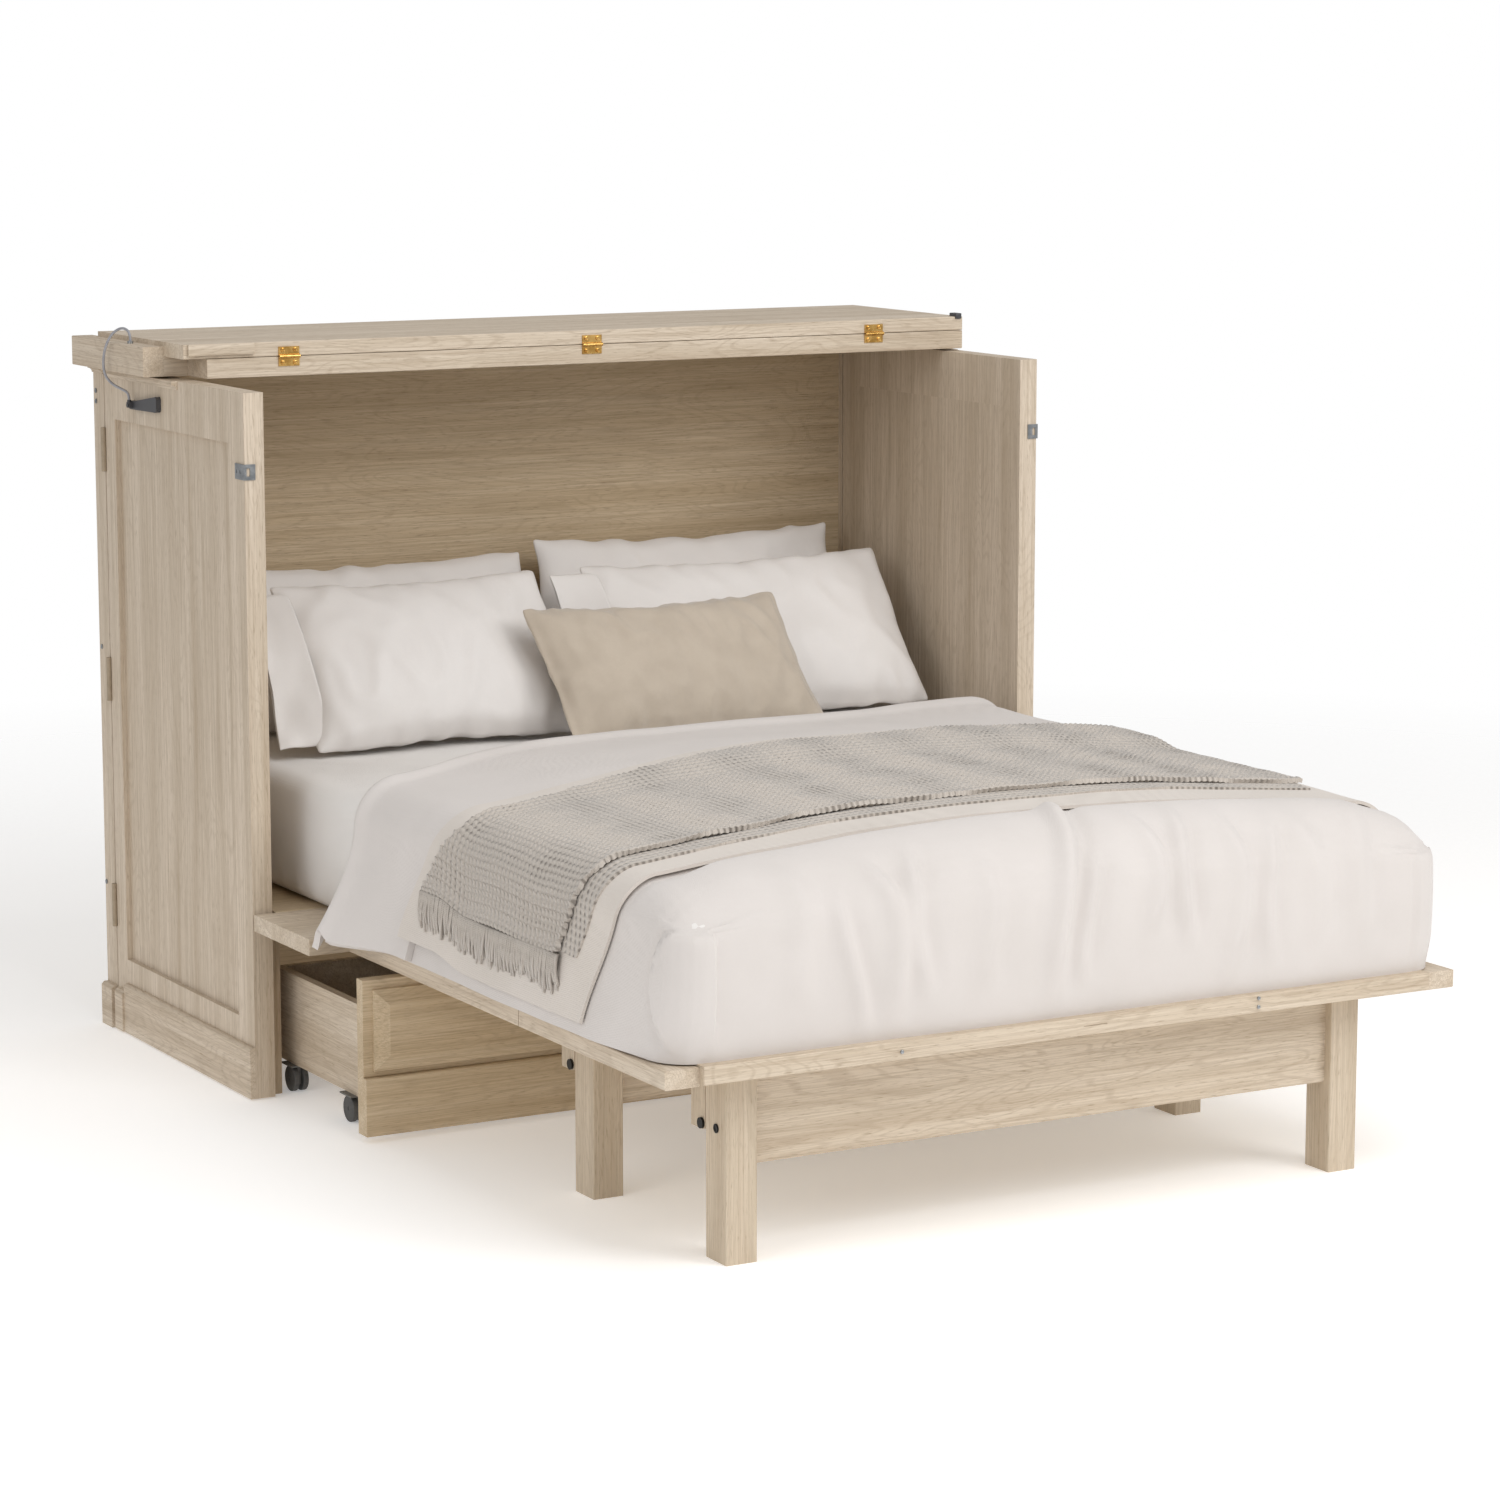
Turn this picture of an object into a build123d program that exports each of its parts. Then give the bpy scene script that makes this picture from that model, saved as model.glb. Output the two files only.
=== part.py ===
from build123d import *
import os

# Cabinet bed, shown opened out. Millimetres, +Z up, +X right, the foot of the bed towards -Y.
# Working frame: y = 0 is the plane of the cabinet's open front, the floor is z = 0.
# Every node is moved by ORIGIN_Y on export, so that the origin ends up on the floor
# under the middle of the whole object.

# ---------------------------------------------------------------- driving dimensions
CABINET_WIDTH = 1490        # over the outer faces of the side doors
CABINET_DEPTH = 662         # open front plane to the rear edge of the posts
TOP_Z = 1150                # underside of the fixed top
PLATFORM_Z = 308            # top of the platform boards
PLATFORM_REACH = 1284       # open front plane to the front face of the foot rail
BOARD_T = 27                # platform boards
SIDE_T = 34                 # doors and posts
PANEL_T = 18                # back panel and inner side panels
POST_DEPTH = 48
DOOR_GAP = 3                # between door and post, filled by two hinge leaves
DOOR_FRONT_Y = 4
DOOR_FLOOR_GAP = 3
DOOR_TOP_GAP = 4
STILE_W = 66
REAR_STILE_W = 46
TOP_RAIL_H = 84
BOTTOM_RAIL_H = 126
RAISED_T = 12               # thickness of the door's inner panel
PANEL_RECESS = 9            # panel face behind the frame face
PANEL_GROOVE = 8
BASEBOARD_H = 88
BASEBOARD_T = 9
BLOCK_H = 74
BLOCK_T = 12
AXIS_OUT = 3                # door axis outside the door's outer face
BLOCK_FROM_AXIS = 13
COVE_H = 14
COVE_T = 10

FIXED_TOP_T = 32
FLAP_T = 24
FIXED_TOP_FRONT_Y = 250
FLAP_DEPTH = 385
FIXED_TOP_NOTCH = 41         # cut-away at the front left corner of the fixed top
BAND_T = 37                 # crown band beside the fixed top
BAND_H = 49
BAND_FRONT_Y = 335

LID_LEAF_W = 37
LID_LEAF_H = 16
LID_LEAF_T = 1.6
LID_BARREL_R = 3.5
LID_HINGE_INSET = 185       # cabinet side to the middle of the outer lid hinges

DOOR_LEAF_W = 30
DOOR_LEAF_H = 75
DOOR_LEAF_T = 1.4
DOOR_BARREL_R = 4.5
PIN_R = 2.2
PIN_CLEARANCE = 0.05
DOOR_HINGE_Z = (180, 575, 970)

WIDE_BOARD_DEPTH = 221      # first board, as wide as the cabinet
HINGE_GAP = 1               # each side of a platform hinge plane
SECTION_SPLIT_Y = -822      # hinge plane between the front and foot sections
SIDE_BOARD_INSET = 68       # cabinet side to the outer edge of the long side boards
SIDE_BOARD_W = 55
DECK_T = 21
DECK_CLEAR = 1
BATTEN_W = 60
BATTEN_T = 18
BATTEN_INSET = 292          # deck edge to the middle of a batten
FOOT_RAIL_W = 44
FOOT_RAIL_RISE = 3
FOOT_BOARD_SETBACK = 12

LEG_INSET = 130             # side board's outer edge to the outer face of the legs
LEG_W = 50
LEG_D = 60
FOOT_LEG_SETBACK = 74       # foot rail's front face to the front face of the foot legs
MID_LEG_SETBACK = 17        # section hinge plane to the front face of the middle legs
LEG_PIVOT_BACK = 70         # leg front face to pivot bolt
LEG_PIVOT_DROP = 94         # underside of the deck to the pivot bolt
BRACKET_D = 41
EAR_T = 16
APRON_T = 22
APRON_SETBACK = 15
APRON_H = 138
BOLT_R = 5
BOLT_HEAD_R = 8
BOLT_HEAD_T = 4

INNER_PANEL_FRONT_Y = 30
INNER_CLEARANCE = 5         # inner side panel to door

DRAWER_FRONT_Y = -335       # front face of the drawer front, partly open
DRAWER_SIDE_GAP = 5         # drawer front to the inner face of a door
DRAWER_FRONT_T = 22
DRAWER_TOP_GAP = 22         # under the platform board
DRAWER_JOIN_Z = 104
PLINTH_PROUD = 10
PLINTH_BOTTOM_Z = 12
DRAWER_BOX_INSET = 40       # end of the drawer front to the outer face of a drawer side
DRAWER_SIDE_T = 15
DRAWER_SIDE_LOW = 63        # drawer sides below the top of the front
DRAWER_SIDE_BOTTOM = 46
DRAWER_DEPTH = 420
DRAWER_BOTTOM_T = 8
RAISED_PANEL_T = 14
CASTER_SETBACK = (139, 373)  # drawer's front face to the caster axles
CASTER_R = 21.5
CASTER_WHEEL_W = 9
CASTER_AXLE_R = 3
CASTER_PLATE_T = 2.5

MATTRESS_INSET = 37         # side board's outer edge to the side of the mattress
MATTRESS_T = 205
MATTRESS_REAR_GAP = 12      # to the back panel
SOFT_GAP = 0.5
DUVET_T = 60
DUVET_REAR_Y = -110
DUVET_SIDE_T = 16
DUVET_ROUND_R = 45
DUVET_HEM_LIFT = 8          # hem of the side falls above the platform boards
THROW_T = 10
THROW_REAR_Y = -480
THROW_FRONT_Y = -965
THROW_RIGHT_INSET = 40      # mattress side to the right-hand end of the throw
THROW_HEM_LIFT = 97         # hem of the throw above the platform boards
PILLOW_SOFT_R = 30

BACK_INSET = 35             # front face of the back panel to the rear edge of the posts
BACK_PANEL_Z = 60
BASE_BLOCK_L = 36
DOOR_COVE_Y = 280
EDGE_R = 2                  # eased edges of boards
LATCH_Z = 1008
LATCH_H = 25
LATCH_REACH = 34
LATCH_T = 2
LATCH_SCREW_Y = (12, 26)    # behind the door's front edge
LID_PIN_R = 1.5
REAR_PILLOW_FROM_BACK = (78, 84)
FRONT_PILLOW_FROM_BACK = 331
CUSHION_FROM_BACK = 477
CUSHION_W = 490
CUSHION_X = 113

HALF_W = CABINET_WIDTH / 2
REAR_Y = CABINET_DEPTH
FOOT_Y = -PLATFORM_REACH
ORIGIN_Y = -(REAR_Y + FOOT_Y) / 2
POST_FRONT_Y = CABINET_DEPTH - POST_DEPTH
DOOR_REAR_Y = POST_FRONT_Y - DOOR_GAP
DOOR_AXIS_Y = POST_FRONT_Y - DOOR_GAP / 2
DOOR_AXIS_X = HALF_W + AXIS_OUT
DOOR_TOP_Z = TOP_Z - DOOR_TOP_GAP
INNER_X = HALF_W - SIDE_T
BACK_Y = CABINET_DEPTH - BACK_INSET
DUVET_SIDE_HEM_Z = PLATFORM_Z + DUVET_HEM_LIFT
THROW_HEM_Z = PLATFORM_Z + THROW_HEM_LIFT
SIDE_BOARD_X = HALF_W - SIDE_BOARD_INSET
LEG_X = SIDE_BOARD_X - LEG_INSET
MATTRESS_X = SIDE_BOARD_X - MATTRESS_INSET
MATTRESS_REAR_Y = BACK_Y - MATTRESS_REAR_GAP
THROW_RIGHT_X = MATTRESS_X - THROW_RIGHT_INSET
LID_HINGE_X = (-HALF_W + LID_HINGE_INSET, 0, HALF_W - LID_HINGE_INSET)
FOOT_LEG_Y = FOOT_Y + FOOT_LEG_SETBACK
MID_LEG_Y = SECTION_SPLIT_Y + MID_LEG_SETBACK
DRAWER_W = 2 * (INNER_X - DRAWER_SIDE_GAP)
DRAWER_BOX_X = DRAWER_W / 2 - DRAWER_BOX_INSET
CASTER_Y = tuple(DRAWER_FRONT_Y + back for back in CASTER_SETBACK)
BOARD_BOTTOM_Z = PLATFORM_Z - BOARD_T
DECK_BOTTOM_Z = PLATFORM_Z - DECK_CLEAR - DECK_T
LEG_PIVOT_Z = DECK_BOTTOM_Z - LEG_PIVOT_DROP
APRON_TOP_Z = BOARD_BOTTOM_Z - 4
DRAWER_TOP_Z = BOARD_BOTTOM_Z - DRAWER_TOP_GAP
DRAWER_SIDE_TOP = DRAWER_TOP_Z - DRAWER_SIDE_LOW
LID_AXIS_Y = FIXED_TOP_FRONT_Y - LID_BARREL_R
LID_AXIS_Z = TOP_Z + FIXED_TOP_T + 0.4
MATTRESS_BOTTOM_Z = PLATFORM_Z + SOFT_GAP
MATTRESS_TOP_Z = MATTRESS_BOTTOM_Z + MATTRESS_T
DUVET_TOP_Z = MATTRESS_TOP_Z + SOFT_GAP + DUVET_T

os.makedirs("parts", exist_ok=True)


# ---------------------------------------------------------------- helpers
def block(x0, x1, y0, y1, z0, z1):
    """A box between two corners, given in any order along each axis."""
    size = (abs(x1 - x0), abs(y1 - y0), abs(z1 - z0))
    middle = ((x0 + x1) / 2, (y0 + y1) / 2, (z0 + z1) / 2)
    return Pos(*middle) * Box(*size)


def rod(start, end, radius):
    """A round bar between two points that differ along one axis."""
    a, b = Vector(*start), Vector(*end)
    plane = Plane(origin=a, z_dir=(b - a).normalized())
    return plane * Cylinder(radius, (b - a).length, align=(Align.CENTER, Align.CENTER, Align.MIN))


def other_side(shape):
    """The mirror image on the right-hand side."""
    return mirror(shape, about=Plane.YZ)


def round_edges(shape, radius, axis, pick=None):
    """Rounds the straight edges that run along an axis."""
    edges = shape.edges().filter_by(axis)
    if pick is not None:
        edges = edges.filter_by(pick)
    return fillet(edges, radius)


def save(name, *solids):
    """Writes one node, moved into the object's own frame."""
    moved = [Pos(0, ORIGIN_Y, 0) * s for s in solids]
    shape = moved[0] if len(moved) == 1 else Compound(children=moved)
    export_step(shape, f"parts/{name}.step")


def save_pair(name, *solids):
    """Writes a left-hand node and its mirrored right-hand twin."""
    save(f"{name}_left", *solids)
    save(f"{name}_right", *[other_side(s) for s in solids])


# ---------------------------------------------------------------- fixed carcass
def post():
    body = block(-HALF_W, -INNER_X, POST_FRONT_Y, CABINET_DEPTH, 0, TOP_Z)
    return body - hinge_recess()


def hinge_recess():
    """Room for the hinge barrels in the edges of the post and the door."""
    room = 0.5
    cuts = [
        rod((-DOOR_AXIS_X, DOOR_AXIS_Y, z - room), (-DOOR_AXIS_X, DOOR_AXIS_Y, z + DOOR_LEAF_H + room),
            DOOR_BARREL_R + room)
        for z in DOOR_HINGE_Z
    ]
    return Compound(children=cuts)


def post_base_block():
    body = block(-HALF_W - BLOCK_T, -HALF_W, POST_FRONT_Y, CABINET_DEPTH, 0, BLOCK_H)
    return chamfer(body.edges().filter_by(Axis.Y).sort_by(Axis.Z)[-2:].sort_by(Axis.X)[0], 5)


def back_panel():
    return block(-INNER_X, INNER_X, BACK_Y, BACK_Y + PANEL_T, BACK_PANEL_Z, TOP_Z)


def inner_side_panel():
    x = -INNER_X + INNER_CLEARANCE
    return block(x, x + PANEL_T, INNER_PANEL_FRONT_Y, BACK_Y, 0, BOARD_BOTTOM_Z)


def rear_platform():
    x = INNER_X - INNER_CLEARANCE
    body = block(-x, x, HINGE_GAP, BACK_Y, BOARD_BOTTOM_Z, PLATFORM_Z)
    return round_edges(body, 2, Axis.X, lambda e: e.center().Y < 100)


def fixed_top():
    body = block(-HALF_W, HALF_W, FIXED_TOP_FRONT_Y, REAR_Y, TOP_Z, TOP_Z + FIXED_TOP_T)
    notch_x = -HALF_W + FIXED_TOP_NOTCH
    body -= block(-HALF_W, notch_x, FIXED_TOP_FRONT_Y, BAND_FRONT_Y, TOP_Z, TOP_Z + FIXED_TOP_T)
    return round_edges(body, 1.5, Axis.X, lambda e: e.center().Y < FIXED_TOP_FRONT_Y + 1)


def crown_band():
    body = block(-HALF_W - BAND_T, -HALF_W, BAND_FRONT_Y, REAR_Y, TOP_Z, TOP_Z + BAND_H)
    return round_edges(body, 2, Axis.Y, lambda e: e.center().X < -HALF_W - BAND_T + 1)


def cove(y0, y1, top_z):
    """A quarter-hollow moulding on the outer face, under the crown."""
    body = block(-HALF_W - COVE_T, -HALF_W, y0, y1, top_z - COVE_H, top_z)
    hollow_r = COVE_T - 2.5
    centre_z = top_z - COVE_H
    return body - rod((-HALF_W - COVE_T, y0, centre_z), (-HALF_W - COVE_T, y1, centre_z), hollow_r)


# ---------------------------------------------------------------- doors (left-hand, mirrored for the right)
def door_stile(y0, y1):
    body = block(-HALF_W, -INNER_X, y0, y1, DOOR_FLOOR_GAP, DOOR_TOP_Z)
    return body - panel_slot()


def panel_bounds():
    """The recessed panel: its edges reach into grooves in the frame."""
    y0, y1 = DOOR_FRONT_Y + STILE_W, DOOR_REAR_Y - REAR_STILE_W
    z0, z1 = DOOR_FLOOR_GAP + BOTTOM_RAIL_H, DOOR_TOP_Z - TOP_RAIL_H
    return y0, y1, z0, z1


def panel_slot():
    y0, y1, z0, z1 = panel_bounds()
    x = -HALF_W + PANEL_RECESS
    grown = (y0 - PANEL_GROOVE, y1 + PANEL_GROOVE, z0 - PANEL_GROOVE, z1 + PANEL_GROOVE)
    return block(x, x + RAISED_T, *grown)


def door_rails():
    y0, y1, z0, z1 = panel_bounds()
    top = block(-HALF_W, -INNER_X, y0, y1, z1, DOOR_TOP_Z) - panel_slot()
    bottom = block(-HALF_W, -INNER_X, y0, y1, DOOR_FLOOR_GAP, z0) - panel_slot()
    return top, bottom


def door_lining():
    """Flush inner lining board behind the panel."""
    y0, y1, z0, z1 = panel_bounds()
    return block(-HALF_W + PANEL_RECESS + RAISED_T, -INNER_X, y0, y1, z0, z1)


def door_baseboard():
    y_rear = DOOR_AXIS_Y - BLOCK_FROM_AXIS - BASE_BLOCK_L
    body = block(-HALF_W - BASEBOARD_T, -HALF_W, DOOR_FRONT_Y, y_rear, DOOR_FLOOR_GAP, BASEBOARD_H)
    upper = body.edges().filter_by(Axis.Y).sort_by(Axis.Z)[-2:].sort_by(Axis.X)[0]
    return fillet(upper, 6)


def door_base_block():
    y_rear = DOOR_AXIS_Y - BLOCK_FROM_AXIS
    body = block(-HALF_W - BLOCK_T, -HALF_W, y_rear - BASE_BLOCK_L, y_rear, DOOR_FLOOR_GAP, BLOCK_H)
    return chamfer(body.edges().filter_by(Axis.Y).sort_by(Axis.Z)[-2:].sort_by(Axis.X)[0], 5)


def hinge_leaf(z, moving):
    """One leaf of a door hinge: a plate with its own knuckles round the pin."""
    side = -1 if moving else 1
    y_plate = DOOR_AXIS_Y + side * (DOOR_GAP / 2 - DOOR_LEAF_T / 2)
    third = DOOR_LEAF_H / 3
    slack = 0.3
    plate = block(-DOOR_AXIS_X + 1, -DOOR_AXIS_X + 1 + DOOR_LEAF_W, y_plate - DOOR_LEAF_T / 2,
                  y_plate + DOOR_LEAF_T / 2, z, z + DOOR_LEAF_H)
    own = [(third + slack, 2 * third - slack)] if moving else [(0, third), (2 * third, 3 * third)]
    others = [(0, third + slack), (2 * third - slack, 3 * third)] if moving else [(third, 2 * third)]
    for low, high in others:
        plate -= knuckle(z + low, z + high, DOOR_BARREL_R + slack)
    for low, high in own:
        plate += knuckle(z + low, z + high, DOOR_BARREL_R)
    bore = PIN_R + (PIN_CLEARANCE if moving else 0)
    return plate - knuckle(z, z + DOOR_LEAF_H, bore)


def knuckle(z0, z1, radius):
    return rod((-DOOR_AXIS_X, DOOR_AXIS_Y, z0), (-DOOR_AXIS_X, DOOR_AXIS_Y, z1), radius)


def hinge_pins():
    return [knuckle(z, z + DOOR_LEAF_H, PIN_R) for z in DOOR_HINGE_Z]


def latch_plate():
    """Angle plate that wraps the front edge of the door, with a slot for the catch."""
    t = LATCH_T
    top = LATCH_Z + LATCH_H
    middle = (LATCH_Z + top) / 2
    outer = block(-HALF_W - t, -HALF_W, DOOR_FRONT_Y, DOOR_FRONT_Y + LATCH_REACH, LATCH_Z, top)
    edge = block(-HALF_W - t, -HALF_W + 18, DOOR_FRONT_Y - t, DOOR_FRONT_Y, LATCH_Z, top)
    slot = block(-HALF_W + 3, -HALF_W + 9, DOOR_FRONT_Y - 2 * t, DOOR_FRONT_Y + t, LATCH_Z + 6, top - 6)
    plate = outer + edge - slot
    for back in LATCH_SCREW_Y:
        y = DOOR_FRONT_Y + back
        plate -= rod((-HALF_W - 2 * t, y, middle), (-HALF_W, y, middle), 3)
    return plate


def latch_screws():
    z = LATCH_Z + LATCH_H / 2
    places = [DOOR_FRONT_Y + back for back in LATCH_SCREW_Y]
    return [rod((-HALF_W - 1.4, y, z), (-HALF_W, y, z), 2.9) for y in places]


# ---------------------------------------------------------------- lid
def lid_flap():
    z0 = TOP_Z + FIXED_TOP_T + 0.8
    y1 = FIXED_TOP_FRONT_Y + FLAP_DEPTH
    body = block(-HALF_W, HALF_W, FIXED_TOP_FRONT_Y, y1, z0, z0 + FLAP_T)
    return round_edges(body, 1.5, Axis.X)


def lid_leaf(x, upper):
    """One leaf of a lid hinge on the front edge of its slab, with its knuckles."""
    side = 1 if upper else -1
    y_back = FIXED_TOP_FRONT_Y
    near, far = LID_AXIS_Z + side * 0.4, LID_AXIS_Z + side * LID_LEAF_H
    half = LID_LEAF_W / 2
    slack = 0.3
    plate = block(x - half, x + half, y_back - LID_LEAF_T, y_back, near, far)
    spans = [(-half, -half / 3), (half / 3, half)] if upper else [(-half / 3 + slack, half / 3 - slack)]
    gaps = [(-half / 3, half / 3)] if upper else [(-half, -half / 3 + slack), (half / 3 - slack, half)]
    for low, high in gaps:
        plate -= rod((x + low, LID_AXIS_Y, LID_AXIS_Z), (x + high, LID_AXIS_Y, LID_AXIS_Z), LID_BARREL_R + slack)
    for low, high in spans:
        plate += rod((x + low, LID_AXIS_Y, LID_AXIS_Z), (x + high, LID_AXIS_Y, LID_AXIS_Z), LID_BARREL_R - 0.2)
    bore = LID_PIN_R + (0 if upper else PIN_CLEARANCE)
    plate -= rod((x - half, LID_AXIS_Y, LID_AXIS_Z), (x + half, LID_AXIS_Y, LID_AXIS_Z), bore)
    return plate


def lid_pins():
    half = LID_LEAF_W / 2
    ends = [(x - half, x + half) for x in LID_HINGE_X]
    return [rod((x0, LID_AXIS_Y, LID_AXIS_Z), (x1, LID_AXIS_Y, LID_AXIS_Z), LID_PIN_R) for x0, x1 in ends]


def lid_screws(upper):
    side = 1 if upper else -1
    z = LID_AXIS_Z + side * (LID_LEAF_H - 5.2)
    y = FIXED_TOP_FRONT_Y - LID_LEAF_T
    return [rod((x + dx, y, z), (x + dx, y - 1.2, z), 3.2) for x in LID_HINGE_X for dx in (-10, 10)]


# ---------------------------------------------------------------- folding platform
def wide_board():
    y0 = -HINGE_GAP - WIDE_BOARD_DEPTH
    body = block(-HALF_W, HALF_W, y0, -HINGE_GAP, BOARD_BOTTOM_Z, PLATFORM_Z)
    return round_edges(body, 2, Axis.X)


def side_board(y0, y1):
    body = block(-SIDE_BOARD_X, -SIDE_BOARD_X + SIDE_BOARD_W, y0, y1, BOARD_BOTTOM_Z, PLATFORM_Z)
    return round_edges(body, 2, Axis.Y)


def deck(y0, y1):
    x = SIDE_BOARD_X - SIDE_BOARD_W
    return block(-x, x, y0, y1, DECK_BOTTOM_Z, PLATFORM_Z - DECK_CLEAR)


def battens(y0, y1):
    x = SIDE_BOARD_X - SIDE_BOARD_W - BATTEN_INSET
    half = BATTEN_W / 2
    return pair_of(block(-x - half, -x + half, y0, y1, DECK_BOTTOM_Z - BATTEN_T, DECK_BOTTOM_Z))


def foot_rail_half():
    """Left half of the foot rail; its lap tongue is at the middle of the bed."""
    x_end = SIDE_BOARD_X - SIDE_BOARD_W
    top = PLATFORM_Z + FOOT_RAIL_RISE
    z_mid = top - BOARD_T / 2
    y0, y1 = FOOT_Y, FOOT_Y + FOOT_RAIL_W
    main = block(-x_end, 0, y0, y1, top - BOARD_T, top)
    return main, block(0, 40, y0, y1, z_mid, top)


def foot_rail_left():
    main, tongue = foot_rail_half()
    return round_edges(main + tongue, 2, Axis.X, lambda e: e.center().Y < FOOT_Y + 1)


def foot_rail_right():
    main, tongue = foot_rail_half()
    right = other_side(main) - tongue
    return round_edges(right, 2, Axis.X, lambda e: e.center().Y < FOOT_Y + 1 and e.length > 100)


def leg(front_y):
    body = block(-LEG_X, -LEG_X + LEG_W, front_y, front_y + LEG_D, 0, DECK_BOTTOM_Z - 1)
    return round_edges(body, 2, Axis.Z)


def bracket(front_y):
    """Block under the platform that carries the leg's pivot bolt; rounded under the bolt."""
    y_pivot = front_y + LEG_PIVOT_BACK
    nose = LEG_PIVOT_BACK - LEG_D - 1
    y0 = y_pivot - nose
    body = block(-LEG_X, -LEG_X + LEG_W - 2, y0, y0 + BRACKET_D, LEG_PIVOT_Z - nose, DECK_BOTTOM_Z)
    edge = body.edges().filter_by(Axis.X).sort_by(Axis.Z)[:2].sort_by(Axis.Y)[0]
    body = fillet(edge, nose - 0.5)
    return body - rod((-LEG_X, y_pivot, LEG_PIVOT_Z), (-LEG_X + LEG_W, y_pivot, LEG_PIVOT_Z), BOLT_R)


def ear(front_y):
    """Plate on the inner face of the leg that turns on the pivot bolt."""
    x = -LEG_X + LEG_W
    y_pivot = front_y + LEG_PIVOT_BACK
    y0 = front_y + APRON_SETBACK + APRON_T + 1
    body = block(x, x + EAR_T, y0, y_pivot + 12, LEG_PIVOT_Z - 42, LEG_PIVOT_Z + 42)
    body = round_edges(body, 10, Axis.X, lambda e: e.center().Y > y_pivot)
    hole = rod((x, y_pivot, LEG_PIVOT_Z), (x + EAR_T, y_pivot, LEG_PIVOT_Z), BOLT_R + PIN_CLEARANCE)
    return body - hole


def apron(front_y):
    x = LEG_X - LEG_W
    y0 = front_y + APRON_SETBACK
    return block(-x, x, y0, y0 + APRON_T, APRON_TOP_Z - APRON_H, APRON_TOP_Z)


def pivot_bolt(front_y):
    """Bolt with a round head outside and a nut inside; it stays in the bracket."""
    y = front_y + LEG_PIVOT_BACK
    x0, x1 = -LEG_X, -LEG_X + LEG_W + EAR_T
    shank = rod((x0, y, LEG_PIVOT_Z), (x1 + 8, y, LEG_PIVOT_Z), BOLT_R)
    head = rod((x0 - BOLT_HEAD_T, y, LEG_PIVOT_Z), (x0, y, LEG_PIVOT_Z), BOLT_HEAD_R)
    nut = rod((x1 + 1, y, LEG_PIVOT_Z), (x1 + 7, y, LEG_PIVOT_Z), BOLT_HEAD_R)
    return shank + head + nut


# ---------------------------------------------------------------- drawer
def drawer_front():
    x = DRAWER_W / 2
    body = block(-x, x, DRAWER_FRONT_Y, DRAWER_FRONT_Y + DRAWER_FRONT_T, DRAWER_JOIN_Z, DRAWER_TOP_Z)
    return round_edges(body, 2, Axis.X, lambda e: e.center().Y < DRAWER_FRONT_Y + 1)


def drawer_raised_panel():
    """Bevelled panel planted on the drawer front."""
    x = DRAWER_W / 2 - 16
    z0, z1 = DRAWER_JOIN_Z + 10, DRAWER_TOP_Z - 16
    edge_t, bevel_w = 5, 24
    middle = (0, DRAWER_FRONT_Y, (z0 + z1) / 2)
    back = Plane(origin=middle, x_dir=(1, 0, 0), z_dir=(0, -1, 0))
    base = back * Rectangle(2 * x, z1 - z0)
    step = back.offset(edge_t) * Rectangle(2 * x, z1 - z0)
    front = back.offset(RAISED_PANEL_T) * Rectangle(2 * (x - bevel_w), z1 - z0 - 2 * bevel_w)
    return extrude(base, edge_t) + loft([step, front])


def drawer_plinth():
    x = DRAWER_W / 2
    y0 = DRAWER_FRONT_Y - PLINTH_PROUD
    body = block(-x, x, y0, DRAWER_FRONT_Y + DRAWER_FRONT_T, PLINTH_BOTTOM_Z, DRAWER_JOIN_Z)
    return round_edges(body, 4, Axis.X, lambda e: e.center().Y < y0 + 1 and e.center().Z > 90)


def drawer_box():
    y0 = DRAWER_FRONT_Y + DRAWER_FRONT_T
    y1 = y0 + DRAWER_DEPTH
    x, t = DRAWER_BOX_X, DRAWER_SIDE_T
    z0, z1 = DRAWER_SIDE_BOTTOM, DRAWER_SIDE_TOP
    side = block(-x, -x + t, y0, y1, z0, z1)
    back = block(-x + t, x - t, y1 - t, y1, z0, z1)
    bottom = block(-x + t, x - t, y0, y1 - t, z0 + 4, z0 + 4 + DRAWER_BOTTOM_T)
    return side, back, bottom


def caster_parts(y):
    """A twin-wheel caster under a drawer side: mount with axle, and its two wheels."""
    x, z = -DRAWER_BOX_X + DRAWER_SIDE_T / 2, CASTER_R
    gap = 7
    w = CASTER_WHEEL_W
    plate = block(x - 18, x + 18, y - 22, y + 22, DRAWER_SIDE_BOTTOM - CASTER_PLATE_T, DRAWER_SIDE_BOTTOM)
    stem = block(x - gap / 2 + 0.5, x + gap / 2 - 0.5, y - 11, y + 11, z - 9, DRAWER_SIDE_BOTTOM - CASTER_PLATE_T)
    axle = rod((x - gap / 2 - w + 1, y, z), (x + gap / 2 + w - 1, y, z), CASTER_AXLE_R)
    bore = CASTER_AXLE_R + PIN_CLEARANCE
    wheels = []
    for side in (-1, 1):
        inner, outer = x + side * gap / 2, x + side * (gap / 2 + w)
        wheel = rod((min(inner, outer), y, z), (max(inner, outer), y, z), CASTER_R)
        wheel = fillet(wheel.edges().filter_by(GeomType.CIRCLE), 1.5)
        wheels.append(wheel - rod((min(inner, outer), y, z), (max(inner, outer), y, z), bore))
    return plate + stem + axle, wheels


# ---------------------------------------------------------------- lanyard between the crown and the left door
CABLE_R = 2.2
TAB_Y = 463                 # middle of the socket on the door's tab
TAB_TOP_Z = 1101
CABLE_POINTS = [
    (-766, 431, 1203), (-766, 431, 1213), (-768, 439, 1222), (-774, 454, 1224), (-785, 468, 1213),
    (-793, 478, 1190), (-795, 483, 1164), (-791, 486, 1143), (-780, 484, 1129), (-768, 474, 1121),
    (-758, TAB_Y, 1115), (-758, TAB_Y, TAB_TOP_Z + 2),
]


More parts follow.
